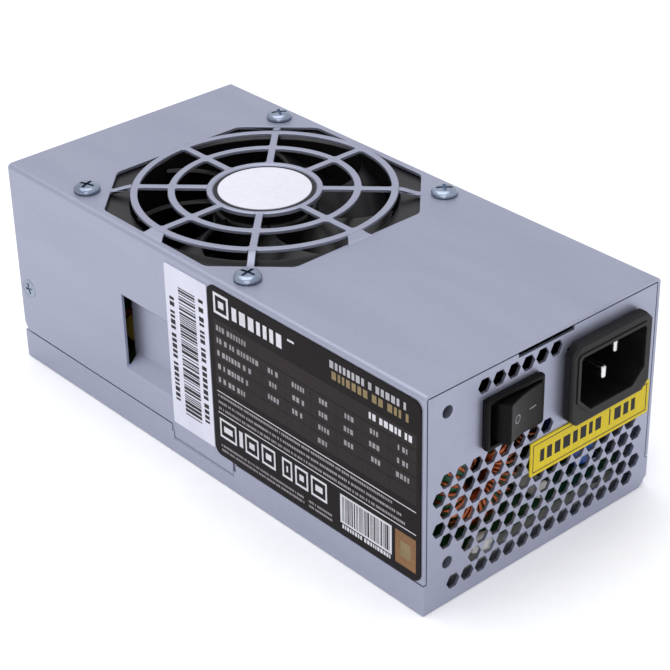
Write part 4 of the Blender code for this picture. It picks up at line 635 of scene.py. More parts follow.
def scatter_tree():
    """Places a prototype on the object's points, turned and sized by the points' attributes."""
    tree = bpy.data.node_groups.get("place_on_points")
    if tree:
        return tree
    tree, start, end = new_tree(
        "place_on_points", (("Prototype", "NodeSocketObject"), ("Material", "NodeSocketMaterial"))
    )
    prototype = add(tree, "GeometryNodeObjectInfo", {"Object": start.outputs["Prototype"]})
    turn = add(tree, "GeometryNodeInputNamedAttribute", {"Name": "turn"}, data_type="FLOAT_VECTOR")
    size = add(tree, "GeometryNodeInputNamedAttribute", {"Name": "size"}, data_type="FLOAT_VECTOR")
    copies = {
        "Points": start.outputs["Geometry"],
        "Instance": prototype.outputs["Geometry"],
        "Rotation": turn.outputs["Attribute"],
        "Scale": size.outputs["Attribute"],
    }
    return end_tree(tree, start, end, add(tree, "GeometryNodeInstanceOnPoints", copies))


def scatter(prototype, places, surface):
    """Copies of a prototype at (location, turn, size) places, as one plain mesh."""
    mesh = bpy.data.meshes.new("places")
    mesh.from_pydata([place[0] for place in places], [], [])
    for name, column in (("turn", 1), ("size", 2)):
        attribute = mesh.attributes.new(name, "FLOAT_VECTOR", "POINT")
        for item, place in zip(attribute.data, places):
            item.vector = place[column]
    points = link("places", mesh)
    result = apply_tree(points, scatter_tree(), {"Prototype": prototype, "Material": surface})
    drop(prototype)
    for name in ("turn", "size"):
        stray = result.data.attributes.get(name)
        if stray:
            result.data.attributes.remove(stray)
    return result


POINTS_PER_TURN = 14.0


def coil_tree():
    """Winds a round wire in close turns round a ring core that lies flat at the origin."""
    tree = bpy.data.node_groups.get("wind_ring_core")
    if tree:
        return tree
    tree, start, end = new_tree(
        "wind_ring_core",
        (
            ("Turns", "NodeSocketInt"),
            ("Ring Radius", "NodeSocketFloat"),
            ("Coil Radius", "NodeSocketFloat"),
            ("Wire Radius", "NodeSocketFloat"),
            ("Cover Angle", "NodeSocketFloat"),
            ("Material", "NodeSocketMaterial"),
        ),
    )
    known = {socket.name: socket for socket in start.outputs}
    known["Index"] = add(tree, "GeometryNodeInputIndex")
    for name, operation, *terms in (
        ("count", "MULTIPLY", "Turns", POINTS_PER_TURN),
        ("share", "DIVIDE", "Index", "count"),
        ("around", "MULTIPLY", "share", "Cover Angle"),
        ("through", "MULTIPLY", "Index", math.tau / POINTS_PER_TURN),
        ("across", "COSINE", "through"),
        ("lift", "SINE", "through"),
        ("radius", "MULTIPLY_ADD", "across", "Coil Radius", "Ring Radius"),
        ("cosine", "COSINE", "around"),
        ("sine", "SINE", "around"),
        ("x", "MULTIPLY", "cosine", "radius"),
        ("y", "MULTIPLY", "sine", "radius"),
        ("z", "MULTIPLY", "lift", "Coil Radius"),
    ):
        inputs = {slot: known.get(term, term) for slot, term in enumerate(terms)}
        known[name] = add(tree, "ShaderNodeMath", inputs, operation=operation)
    line = add(tree, "GeometryNodeMeshLine", {"Count": known["count"], "Offset": (MM, 0.0, 0.0)})
    place = add(tree, "ShaderNodeCombineXYZ", {"X": known["x"], "Y": known["y"], "Z": known["z"]})
    path = add(tree, "GeometryNodeSetPosition", {"Geometry": line, "Position": place})
    curve = add(tree, "GeometryNodeMeshToCurve", {"Mesh": path})
    section = add(tree, "GeometryNodeCurvePrimitiveCircle", {"Resolution": 8, "Radius": known["Wire Radius"]})
    wire = {"Curve": curve, "Profile Curve": section, "Fill Caps": True}
    smooth = add(tree, "GeometryNodeSetShadeSmooth", {"Geometry": add(tree, "GeometryNodeCurveToMesh", wire)})
    return end_tree(tree, start, end, smooth)


# ------------------------------------------------------------------ cover and grille
OPENING_FILLET = 1.2 * MM
BRIDGE_HALF_WIDTHS = 2.5 * MM, 4.85 * MM  # at the grille and at the sheet
BRIDGE_FLARE = 1.6
BRIDGE_LAP = 0.9 * MM
FAN_HOLE_RADIUS = 2.2 * MM
TONGUE_LENGTH = 26.0 * MM
SINK_RADII = 3.6 * MM, 1.85 * MM  # dimple of a cover screw, outside and inside
COVER_HOLE_RADIUS = 1.55 * MM
RIM_WIDTH = 1.6 * MM


def cover_section(case, skirt):
    """Cross-section of the cover in Y and Z."""
    side = SIDE_Y
    y = side - case.fold
    z = case.height - case.fold
    inner = case.fold - case.sheet
    outline = [(side, skirt)]
    outline += arc(y, z, case.fold, 0, 90, 10)
    outline += arc(-y, z, case.fold, 90, 180, 10)
    outline += [(-side, skirt), (-side + case.sheet, skirt)]
    outline += arc(-y, z, inner, 180, 90, 4)
    outline += arc(y, z, inner, 90, 0, 4)
    outline.append((side - case.sheet, skirt))
    return outline


def corner_cut(x, z, radius):
    """Leaves a round skirt corner at the cable end, on both sides."""
    beyond = MM
    outline = [(x - beyond, z - beyond), (x + radius, z - beyond)]
    for step in range(11):
        angle = math.radians(9.0 * step)
        outline.append((x + radius - radius * math.sin(angle), z + radius - radius * math.cos(angle)))
    outline.append((x - beyond, z + radius))
    return extrude([outline], -SIDE_Y - beyond, SIDE_Y + beyond, "Y")


def grille_cell(inner, outer, half_bar, spokes, fillet, low, high):
    """Cutter for one opening between two rings and two spokes, with round corners."""
    span = math.tau / spokes
    steps = 14
    outline = []
    for radius, order in ((inner, 1), (outer, -1)):
        margin = math.asin(half_bar / radius)
        angles = [margin + (span - 2 * margin) * step / steps for step in range(steps + 1)]
        for angle in angles[::order]:
            outline.append((radius * math.cos(angle), radius * math.sin(angle)))
    cell = extrude([outline[::-1]], low, high, "Z")
    shape = bmesh.new()
    shape.from_mesh(cell.data)
    corners = []
    for edge in shape.edges:
        first, second = (v.co for v in edge.verts)
        upright = abs(first.z - second.z) > (high - low) * 0.9
        if upright and len(edge.link_faces) == 2 and edge.calc_face_angle() > math.radians(40.0):
            corners.append(edge)
    bmesh.ops.bevel(shape, geom=corners, offset=fillet, segments=5, affect="EDGES", profile=0.5)
    shape.to_mesh(cell.data)
    shape.free()
    return cell


def ramp(start, end, half_start, half_end, high, low, sheet, flare):
    """Bridge along +X that slopes from the raised grille down to the sheet; flare bends how it widens."""
    rows = 10
    shape = bmesh.new()
    previous = None
    for row in range(rows + 1):
        share = row / rows
        x = start + (end - start) * share
        ease = share * share * (3.0 - 2.0 * share)
        top = high + (low - high) * ease
        half = half_start + (half_end - half_start) * (share ** flare)
        corners = ((-half, top), (half, top), (half, top - sheet), (-half, top - sheet))
        loop = [shape.verts.new((x, y, z)) for y, z in corners]
        if previous:
            for index in range(4):
                following = (index + 1) % 4
                shape.faces.new((previous[index], loop[index], loop[following], previous[following]))
        else:
            shape.faces.new(loop)
        previous = loop
    shape.faces.new(previous[::-1])
    bmesh.ops.recalc_face_normals(shape, faces=shape.faces)
    return made(shape, "ramp")


class PSU_OT_cover(bpy.types.Operator):
    """Top cover with its folds, side recess, tongues and stamped fan grille."""

    bl_idname = "psu.cover"
    bl_label = "Top cover"

    def execute(self, context):
        case = settings("psu_case")
        grille = settings("psu_grille")
        steel = finish("zinc_plated_steel")
        beyond = 2.0 * MM
        sheet = case.sheet
        top = case.height
        tongue_low = COVER[0][2]
        cover = extrude([cover_section(case, tongue_low)], -END_X, END_X, "X")

        half = grille.opening / 2
        corner = half - grille.chamfer
        octagon = []
        for x, y in ((half, -corner), (half, corner), (corner, half), (-corner, half),
                     (-half, corner), (-half, -corner), (-corner, -half), (corner, -half)):
            octagon.append((x + FAN_CENTRE.x, y))
        opening = extrude([octagon], top - sheet - beyond, top + beyond, "Z")
        cover = cut(cover, soften(opening, OPENING_FILLET, 4, 30.0))

        high = GRILLE_TOP
        low = high - sheet
        outer = grille.outer_ring + grille.bar / 2
        plate = barrel(outer, (0, 0, low), (0, 0, high), 144)
        for inner_edge, outer_edge in (
            (grille.hub - 0.2 * MM, grille.inner_ring - grille.bar / 2),
            (grille.inner_ring + grille.bar / 2, grille.outer_ring - grille.bar / 2),
        ):
            cell = grille_cell(
                inner_edge, outer_edge, grille.bar / 2, grille.spokes, grille.fillet, low - MM, high + MM
            )
            plate = cut(plate, repeat_round(cell, grille.spokes, steel, 0.0, Vector()))
        middle = barrel(grille.hub - 0.15 * MM, (0, 0, low - MM), (0, 0, high + MM), 128)
        plate = cut(plate, middle)
        reach = half + BRIDGE_LAP
        diagonal = math.hypot(1.0, 1.0) * (grille.opening - grille.chamfer) / 2 + BRIDGE_LAP
        start = outer - 0.35 * grille.bar
        bridges = ramp(start, reach, *BRIDGE_HALF_WIDTHS, high, top, sheet, BRIDGE_FLARE)
        bridges = repeat_round(bridges, 4, steel, 0.0, Vector())
        struts = ramp(start, diagonal, grille.bar / 2, grille.bar / 2, high, top, sheet, 1.0)
        struts = repeat_round(struts, 4, steel, math.radians(45.0), Vector())
        plate = boolean(plate, bridges, "UNION")
        plate = boolean(plate, struts, "UNION")
        plate.data.transform(Matrix.Translation(FAN_CENTRE))
        cover = boolean(cover, plate, "UNION")

        for x, y in fan_hole_places():
            hole = barrel(FAN_HOLE_RADIUS, (x, y, top - sheet - beyond), (x, y, top + beyond), 32)
            cover = cut(cover, hole)
        cover = self.side_recess(cover, case)
        skirt = case.strip + case.seam
        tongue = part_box("barcode_label")[0][0] - 0.8 * MM
        for from_x, to_x in ((-END_X - beyond, tongue), (tongue + TONGUE_LENGTH, END_X + beyond)):
            cover = cut(cover, block((from_x, -SIDE_Y - beyond, 0.0), (to_x, SIDE_Y + beyond, skirt)))
        cover = cut(cover, corner_cut(-END_X, skirt, case.corner))
        x, z = cover_screw_place()
        for side in (-1, 1):
            outside, inside = side * (SIDE_Y + 0.15 * MM), side * (SIDE_Y - 0.8 * sheet)
            sink = barrel(SINK_RADII[0], (x, outside, z), (x, inside, z), 48, SINK_RADII[1])
            outside, inside = side * (SIDE_Y + beyond), side * (SIDE_Y - beyond)
            hole = barrel(COVER_HOLE_RADIUS, (x, outside, z), (x, inside, z), 32)
            cover = cut(cover, sink, hole)
        tidy(cover.data, 0.01 * MM)
        cover = soften(cover, case.edge, 2, 35.0)
        dress(cover, "cover_shell", steel, "case", "top_cover", slot="zinc_plated_steel")
        self.hub(grille, steel)
        return {"FINISHED"}

    def side_recess(self, cover, case):
        """Pressed pocket with three sloping walls, open towards the cable end."""
        beyond = 2.0 * MM
        sheet = case.sheet
        start, end, bottom, top, depth = -34.5 * MM, -11.5 * MM, 18.9 * MM, 43.1 * MM, 4.0 * MM
        face = -SIDE_Y
        floor = face + depth
        outside = tapered(
            ((start - sheet, face + sheet / 2, bottom - sheet), (end + sheet, face + sheet / 2, top + sheet)),
            ((start - sheet, floor + sheet, bottom + depth - sheet),
             (end - depth + sheet, floor + sheet, top - depth + sheet)),
            "Y",
        )
        inside = tapered(
            ((start, face - depth, bottom - depth), (end + depth, face - depth, top + depth)),
            ((start, floor, bottom + depth), (end - depth, floor, top - depth)),
            "Y",
        )
        gap = block((start - beyond, face + sheet, bottom - beyond), (start + 0.5 * MM, floor, top + beyond))
        return cut(boolean(cover, outside, "UNION"), inside, gap)

    def hub(self, grille, steel):
        """Dished hub disc with a rolled rim, a black ring as painted shade in the groove round the badge, and
        the blank badge.
        """
        high = GRILLE_TOP
        rim_in = grille.hub - RIM_WIDTH
        dish, shoulder, underside = high - 0.75 * MM, high - 0.3 * MM, high - 1.25 * MM
        rim = [(0.0, dish), (rim_in - 0.3 * MM, dish), (rim_in, shoulder)]
        bead = (grille.hub - rim_in) / 2
        for step in range(9):
            angle = math.pi * (1.0 - step / 8)
            rim.append((rim_in + bead + bead * math.cos(angle), shoulder + 0.3 * MM * math.sin(angle)))
        rim += [(grille.hub, underside), (0.0, underside)]
        ring_in, ring_out = grille.badge - 0.05 * MM, rim_in - 0.35 * MM
        ring_top, ring_low = high - 0.5 * MM, high - 0.72 * MM
        ring = [(ring_in, ring_top), (ring_out, ring_top), (ring_out, ring_low), (ring_in, ring_low)]
        crown, edge, back = high + 0.05 * MM, grille.badge - 0.1 * MM, high - 0.7 * MM
        badge = [(0.0, crown)]
        for step in range(1, 7):
            badge.append(((grille.badge - 0.5 * MM) * step / 6, crown - 0.2 * MM * (step / 6) ** 2))
        badge += [(edge, shoulder), (edge, back), (0.0, back)]
        for profile, name, surface, nodes, slot in (
            (rim, "grille_hub", steel, (), "zinc_plated_steel"),
            # The black ring paints the shade of the groove between the badge and the rim.
            (ring, "badge_ring", finish("rim_black"), (), "white_badge"),
            (badge, "badge_disc", finish("badge_white"), ("hub_badge",), "white_badge"),
        ):
            dress(soften(turned(profile, 128, FAN_CENTRE), 0.0), name, surface, "case", *nodes, slot=slot)


def fan_hole_places():
    half = settings("psu_fan").hole_pitch / 2
    return [(FAN_CENTRE.x + sx * half, sy * half) for sx in (-1, 1) for sy in (-1, 1)]


def cover_screw_place():
    low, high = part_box("cover_screw_label_side")
    return (low[0] + high[0]) / 2, (low[2] + high[2]) / 2


class PSU_OT_chassis(bpy.types.Operator):
    """Chassis with the vented inlet panel, and the bush in its cable end."""

    bl_idname = "psu.chassis"
    bl_label = "Chassis"

    def execute(self, context):
        chassis = refined("base_chassis", 0.1 * MM)
        steel = finish("zinc_plated_steel")
        dress(chassis, "chassis_shell", steel, "case", "base_chassis", slot="zinc_plated_steel")
        bush = refined("cable_grommet", 0.3 * MM)
        dress(bush, "cable_bush", finish("moulded_black"), "case", "cable_grommet", slot="black_plastic")
        return {"FINISHED"}


# ------------------------------------------------------------------ fan
class PSU_OT_fan(bpy.types.Operator):
    """Fan housing, its turning blades and hub, and the motor inside the hub."""

    bl_idname = "psu.fan"
    bl_label = "Fan"

    def execute(self, context):
        fan = settings("psu_fan")
        black = finish("fan_black")
        carry("fan_frame", "fan_housing", black, 0.25 * MM)
        blades = repeat_round(self.blade(fan), fan.blades, black)
        dress(soften(blades, 0.0), "fan_blades", black, "rotor", "fan_rotor", slot="fan_plastic")
        dress(self.hub_cup(fan), "fan_hub", black, "rotor", slot="fan_plastic")
        carry("fan_shaft", "fan_spindle", finish("nickel_plate"), 0.1 * MM, "rotor")
        carry("fan_magnet_ring", "fan_magnet", finish("ferrite"), 0.1 * MM, "rotor")
        carry("fan_bearing", "fan_bush", finish("sintered_bronze"), 0.1 * MM)
        carry("fan_stator", "fan_coils", finish("enamelled_copper"), 0.15 * MM)
        carry("fan_circuit_board", "fan_driver_board", finish("board_green"), 0.05 * MM)
        return {"FINISHED"}

    def blade(self, fan):
        """One twisted and swept blade, from inside the hub wall to its free tip."""
        inner, tip = fan.hub - 0.6 * MM, fan.tip
        low, high = fan.blade_low, fan.blade_high
        columns, rows = 22, 18
        shape = bmesh.new()
        grid = []
        for column in range(columns + 1):
            out = column / columns
            radius = inner + (tip - inner) * out
            line = []
            for row in range(rows + 1):
                along = row / rows
                turn = fan.sweep * out * out + fan.twist * (along - 0.5) * (0.75 + 0.25 * out)
                rise = low + (high - low) * along ** 0.85
                line.append(shape.verts.new((radius * math.cos(turn), radius * math.sin(turn), rise)))
            grid.append(line)
        for near, far in zip(grid, grid[1:]):
            for row in range(rows):
                shape.faces.new((near[row], far[row], far[row + 1], near[row + 1]))
        blade = made(shape, "blade")
        wall = blade.modifiers.new("Wall", "SOLIDIFY")
        wall.thickness = fan.blade
        wall.offset = 0.0
        blade = flatten(blade)
        tidy(blade.data, planar=False)
        return soften(blade, 0.28 * MM, 2, 50.0)

    def hub_cup(self, fan):
        """Upturned cup with a rounded shoulder, open below, and the boss that holds the shaft."""
        top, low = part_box("fan_rotor")[1].z, 48.1 * MM
        round_edge = 1.6 * MM
        profile = [(0.0, top)]
        profile += arc(fan.hub - round_edge, top - round_edge, round_edge, 90, 0, 8)
        profile += [(fan.hub, low), (fan.hub - 1.2 * MM, low), (fan.hub - 1.2 * MM, top - 1.2 * MM)]
        profile += [(3.0 * MM, top - 1.2 * MM), (3.0 * MM, top - 4.0 * MM), (1.65 * MM, top - 4.0 * MM)]
        profile += [(1.65 * MM, top - 0.6 * MM), (0.0, top - 0.6 * MM)]
        return soften(turned(profile, 96, FAN_CENTRE), 0.0)


# ------------------------------------------------------------------ fasteners
def cross_head(screw, head, top, depth):
    """Cut a cross recess into a screw that stands on the Z axis."""
    arm, half = 0.6 * head, 0.12 * head
    for reach in ((arm, half), (half, arm)):
        cutter = block((-reach[0], -reach[1], top - depth), (reach[0], reach[1], top + MM))
        screw = cut(screw, cutter)
    return soften(screw, 0.0, angle=34.0)


class PSU_OT_screws(bpy.types.Operator):
    """Plated screws of the fan, the cover and the circuit board."""

    bl_idname = "psu.screws"
    bl_label = "Screws"

    def execute(self, context):
        zinc = finish("bright_zinc")
        case = settings("psu_case")
        places = []
        for index, (x, y) in enumerate(fan_hole_places()):
            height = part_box(f"fan_screw_{index + 1}")[0].z + case.fan_screw_length - 0.02 * MM
            places.append(((x, y, height), (0.0, 0.0, math.radians(20.0 + 40.0 * index)), (1.0, 1.0, 1.0)))
        pan = self.pan_screw(head=3.8 * MM, height=1.8 * MM, shank=1.9 * MM, length=case.fan_screw_length)
        nodes = [f"fan_screw_{index + 1}" for index in range(4)]
        dress(scatter(pan, places, zinc), "fan_screws", zinc, "case", *nodes, slot="bright_zinc")

        x, z = cover_screw_place()
        quarter = math.pi / 2
        places = [((x, side * SIDE_Y, z), (-side * quarter, 0.0, 0.0), (1.0, 1.0, 1.0)) for side in (-1, 1)]
        sunk = self.sunk_screw(head=3.0 * MM, shank=1.25 * MM, length=5.0 * MM)
        nodes = ("cover_screw_label_side", "cover_screw_far_side")
        dress(scatter(sunk, places, zinc), "cover_screws", zinc, "case", *nodes, slot="bright_zinc")

        places, nodes = [], []
        for index in range(4):
            nodes.append(f"board_screw_{index + 1}")
            low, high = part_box(nodes[-1])
            place = ((low.x + high.x) / 2, (low.y + high.y) / 2, high.z - 1.6 * MM)
            places.append((place, (0.0, 0.0, 0.3 * index), (1.0, 1.0, 1.0)))
        small = self.pan_screw(head=2.6 * MM, height=1.6 * MM, shank=1.1 * MM, length=5.8 * MM)
        dress(scatter(small, places, zinc), "board_screws", zinc, "case", *nodes, slot="bright_zinc")
        return {"FINISHED"}

    def pan_screw(self, head, height, shank, length):
        """Low domed head above Z = 0 and a pointed shank below."""
        dome = ((0.0, 1.0), (0.3, 0.99), (0.55, 0.95), (0.74, 0.85), (0.88, 0.68), (0.96, 0.46), (1.0, 0.24))
        profile = [(head * r, height * z) for r, z in dome]
        profile += [(head, 0.0), (shank, 0.0), (shank, 0.6 * shank - length)]
        profile += [(0.4 * shank, -length), (0.0, -length)]
        return cross_head(turned(profile, 48), head, height, 0.62 * height)

    def sunk_screw(self, head, shank, length):
        """Flat head that narrows to its shank, its face at Z = 0, turned a little on its own axis."""
        profile = [(0.0, 0.0), (head - 0.15 * MM, 0.0), (head, -0.08 * MM), (head, -0.15 * MM)]
        profile += [(shank, -0.7 * MM), (shank, -length), (0.0, -length)]
        screw = cross_head(turned(profile, 48), head, 0.0, 0.45 * MM)
        screw.data.transform(Matrix.Rotation(math.radians(15.0), 4, "Z"))
        return screw


# ------------------------------------------------------------------ inlet panel
class PSU_OT_inlet(bpy.types.Operator):
    """Mains inlet: moulded socket with a raised lip round its keyed cavity, and three plated blades."""

    bl_idname = "psu.inlet"
    bl_label = "Mains inlet"

    def execute(self, context):
        low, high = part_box("inlet_housing")
        centre = ((low.y + high.y) / 2, (low.z + high.z) / 2)
        carry("inlet_housing", "inlet_socket", finish("moulded_black"), 0.35 * MM)
        outlines = [
            chamfered(centre, (26.8 * MM, 18.8 * MM), (4.7 * MM, 1.0 * MM)),
            chamfered(centre, (24.6 * MM, 16.6 * MM), (4.2 * MM, 0.6 * MM)),
        ]
        lip = soften(extrude(outlines, high.x - 0.2 * MM, high.x + 0.3 * MM, "X"), 0.12 * MM)
        dress(lip, "inlet_lip", finish("moulded_black"), "case", slot="black_plastic")
        for pin in ("live", "neutral", "earth"):
            carry(f"inlet_pin_{pin}", f"inlet_blade_{pin}", finish("nickel_plate"), 0.3 * MM)
        carry("inlet_wire_live", "live_lead", finish("brown_insulation"), 0.0)
        carry("inlet_wire_neutral", "neutral_lead", finish("blue_insulation"), 0.0)
        return {"FINISHED"}


class PSU_OT_switch(bpy.types.Operator):
    """Rocker switch: bezel, tilted rocker with a hollowed face and its two marks, and the terminals."""

    bl_idname = "psu.switch"
    bl_label = "Rocker switch"

    def execute(self, context):
        panel = settings("psu_panel")
        low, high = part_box("switch_housing")
        pivot = Vector((END_X - panel.pivot_depth, (low.y + high.y) / 2, (low.z + high.z) / 2))
        tilt = Matrix.Translation(pivot) @ Matrix.Rotation(panel.tilt, 4, "Z")
        carry("switch_housing", "switch_bezel", finish("switch_black"), 0.3 * MM)
        rocker = self.rocker()
        rocker.data.transform(tilt)
        dress(rocker, "rocker", finish("switch_black"), "rocker", "switch_rocker", slot="switch_plastic")
        for name, across, outlines in self.marks():
            depth = self.face(across)
            mark = extrude(outlines, depth - 0.2 * MM, depth + 0.03 * MM, "X")
            slope = math.atan(-1.2 * across / (7.0 * 7.0 * MM))
            place = Matrix.Translation((depth, across, 0.0))
            back = Matrix.Translation((-depth, 0.0, 0.0))
            mark.data.transform(tilt @ place @ Matrix.Rotation(slope, 4, "Z") @ back)
            dress(mark, name, finish("print_grey"), "rocker", slot="switch_plastic")
        for index in (1, 2):
            carry(f"switch_terminal_{index}", f"switch_tab_{index}", finish("stamped_brass"), 0.15 * MM)
        return {"FINISHED"}

    def face(self, across):
        """Height of the rocker's hollowed face above its pivot."""
        return 8.0 * MM + 0.6 * MM * (across / (7.0 * MM)) ** 2

    def rocker(self):
        steps = 28
        outline = []
        for step in range(steps + 1):
            across = (-7.0 + 14.0 * step / steps) * MM
            outline.append((self.face(across), across))
        side = [(5.0, 7.8), (0.0, 7.8), (-2.0, 5.8), (-3.2, 1.5)]
        outline += [(depth * MM, across * MM) for depth, across in side]
        outline += [(depth * MM, -across * MM) for depth, across in reversed(side)]
        body = extrude([outline], -5.7 * MM, 5.7 * MM, "Z")
        pins = barrel(1.1 * MM, (0, 0, -6.4 * MM), (0, 0, 6.4 * MM), 32)
        return soften(boolean(body, pins, "UNION"), 0.35 * MM, 3, 30.0)

    def marks(self):
        """An open ring on the off half and a dash on the on half."""
        off, on = -3.4 * MM, 3.4 * MM
        ring = [arc(0.0, 0.0, radius, 0, 351, 39) for radius in (1.25 * MM, 0.95 * MM)]
        half, thick = 1.3 * MM, 0.16 * MM
        dash = [[(-half, -thick), (half, -thick), (half, thick), (-half, thick)]]
        return (("rocker_mark_off", off, ring), ("rocker_mark_on", on, dash))


# ------------------------------------------------------------------ labels
# In millimetres: how far a film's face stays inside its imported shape, and how far each layer of ink
# stands out from the one below.
FILM_SETBACK = 0.04
STICKER_SETBACK = 0.03
INK_STEP = 0.008


def words(left, right, top, bottom, dice):
    """Plain blocks of uneven width that fill a line of print."""
    blocks = []
    height = bottom - top
    x = left
    while x < right - 0.3 * height:
        width = min(right - x, height * dice.uniform(0.35, 0.75))
        blocks.append((x, top, x + width, bottom))
        x += width + height * (0.28 if dice.random() < 0.8 else 0.7)
    return blocks


def stripes(left, right, top, bottom, dice, upright, unit):
    """Bars of a code whose widths mean nothing; upright bars follow each other along X."""
    blocks = []
    place, end = (left, right) if upright else (top, bottom)
    while place < end:
        width = unit * dice.choice((1, 1, 2, 3))
        stop = min(place + width, end)
        blocks.append((place, top, stop, bottom) if upright else (left, place, right, stop))
        place = stop + unit * dice.choice((1, 1, 2))
    return blocks


class PSU_OT_labels(bpy.types.Operator):
    """Film labels whose print is plain blocks, bars and rules."""

    bl_idname = "psu.labels"
    bl_label = "Labels"

    def execute(self, context):
        dice = random.Random(settings("psu_label").seed)
        self.rating_label(dice)
        self.barcode_label(dice)
        self.panel_sticker(dice)
        return {"FINISHED"}

    def film(self, node, name, surface, corner, slot):
        """Label film with round corners, filling its CAD node's place down to the sheet."""
        low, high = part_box(node)
        if high.x - low.x > high.y - low.y:
            outline = rounded(low.x, low.z, high.x, high.z, corner, 6)
            film = extrude([outline], low.y + FILM_SETBACK * MM, -SIDE_Y, "Y")
        else:
            outline = rounded(low.y, low.z, high.y, high.z, corner, 6)
            film = extrude([outline], END_X, high.x - STICKER_SETBACK * MM, "X")
        dress(soften(film, 0.0), name, surface, "case", node, slot=slot)

    def ink(self, name, blocks, surface, level, slot):
        """Blocks of (left, top, right, bottom) in millimetres from the cable end and the top of the case."""
        top = settings("psu_case").height
        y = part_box("rating_label")[0].y + (FILM_SETBACK - INK_STEP * level) * MM
        places = []
        for left, high, right, low in blocks:
            centre = ((left + right) / 2 * MM - END_X, y, top - (high + low) / 2 * MM)
            places.append((centre, (0.0, 0.0, 0.0), ((right - left) * MM, 1.0, (low - high) * MM)))
        plate = block((-0.5, -0.008 * MM, -0.5), (0.5, 0.02 * MM, 0.5))
        dress(scatter(plate, places, surface), name, surface, "case", slot=slot)

    def rating_label(self, dice):
        self.film("rating_label", "rating_film", finish("label_black"), 2.5 * MM, "black_label")
        left, right = 95.6, 172.8
        rows = ((11.5, 15.6), (16.0, 19.6), (19.8, 23.6), (24.0, 27.8), (28.1, 32.0))
        columns = (95.6, 114.7, 124.6, 134.2, 143.9, 153.6, 163.1, 172.8)
        table = [(left, top, right, bottom) for top, bottom in rows]
        self.ink("rating_table", table, finish("label_panel"), 0, "black_label")
        rules = [(x - 0.12, 16.0, x + 0.12, 32.0) for x in columns[1:-1]]
        self.ink("rating_rules", rules, finish("label_rule"), 1, "black_label")

        white = words(103.6, 125.8, 5.0, 9.0, dice) + [(125.8, 4.9, 128.4, 5.5)]
        white += [(96.0, 3.3, 102.2, 4.1), (96.0, 8.8, 102.2, 9.6), (96.0, 4.1, 96.8, 8.8)]
        white += [(101.4, 4.1, 102.2, 8.8), (98.0, 5.4, 100.2, 7.5)]
        white += words(156.0, 171.8, 12.5, 14.4, dice)
        white += [(left, 33.9, 172.7, 34.15), (left, 40.7, 172.7, 40.95)]
        white += self.pictograms()
        white += [(144.8, 42.5, 164.0, 51.4)] + words(145.5, 163.5, 51.8, 53.0, dice)
        self.ink("rating_print_white", white, finish("print_white"), 2, "white_label")

        grey = words(96.6, 108.8, 13.2, 14.8, dice)
        for (top, bottom), end in zip(rows[1:], (114.0, 111.0, 109.9, 108.3)):
            middle = (top + bottom) / 2
            grey += words(96.6, end, middle - 0.8, middle + 0.8, dice)
            for first, last in zip(columns[1:], columns[2:]):
                half = dice.uniform(1.5, 2.6)
                centre = (first + last) / 2
                if bottom < 28.0 or (first, last) == (134.2, 143.9):
                    grey += words(centre - half, centre + half, middle - 0.75, middle + 0.75, dice)
        for top in (34.9, 37.0, 39.0):
            grey += words(96.0, dice.uniform(160.0, 171.0), top, top + 0.8, dice)
        for top in (51.0, 52.5):
            grey += words(96.3, 130.7, top, top + 0.7, dice) + words(132.4, 141.8, top, top + 0.7, dice)
        self.ink("rating_print_grey", grey, finish("print_grey"), 2, "black_label")
        gold = words(142.5, 170.0, 6.9, 9.2, dice)
        self.ink("rating_print_gold", gold, finish("print_gold"), 2, "black_label")
        silver = words(141.8, 170.0, 4.0, 6.1, dice)
        self.ink("rating_print_silver", silver, finish("print_silver"), 2, "black_label")
        self.ink("rating_square", [(165.3, 42.5, 172.7, 52.6)], finish("print_bronze"), 2, "black_label")
        self.ink("rating_square_mark", [(167.2, 45.2, 170.8, 49.9)], finish("print_gold"), 3, "black_label")
        bars = stripes(145.6, 163.2, 43.1, 50.8, dice, True, 0.22)
        self.ink("rating_code", bars, finish("print_black"), 3, "black_label")

    def pictograms(self):
        """Outlined squares and plain shapes in a row, where a rating plate carries its symbols."""
        shapes = []
        squares = ((96.0, 103.0), (106.7, 112.3), (113.6, 119.2))
        squares += ((122.0, 126.0), (127.2, 132.3), (133.5, 139.7))
        for first, last in squares:
            shapes += [(first, 42.5, last, 43.2), (first, 47.9, last, 48.6), (first, 43.2, first + 0.6, 47.9),
                       (last - 0.6, 43.2, last, 47.9)]
            shapes.append((first + 1.7, 44.6, last - 1.7, 46.5))
        shapes.append((104.2, 43.0, 105.7, 48.0))
        return shapes

    def barcode_label(self, dice):
        self.film("barcode_label", "barcode_film", finish("label_paper"), 0.6 * MM, "white_label")
        bars = stripes(80.7, 87.9, 8.3, 48.6, dice, False, 0.33)
        upright = [(76.6, 12.5, 78.6, 45.5), (89.4, 8.3, 91.4, 48.3)]
        for left, top, right, bottom in upright:
            for start, near, stop, far in words(top, bottom, left, right, dice):
                bars.append((near, start, far, stop))
        self.ink("barcode_print", bars, finish("print_black"), 2, "white_label")

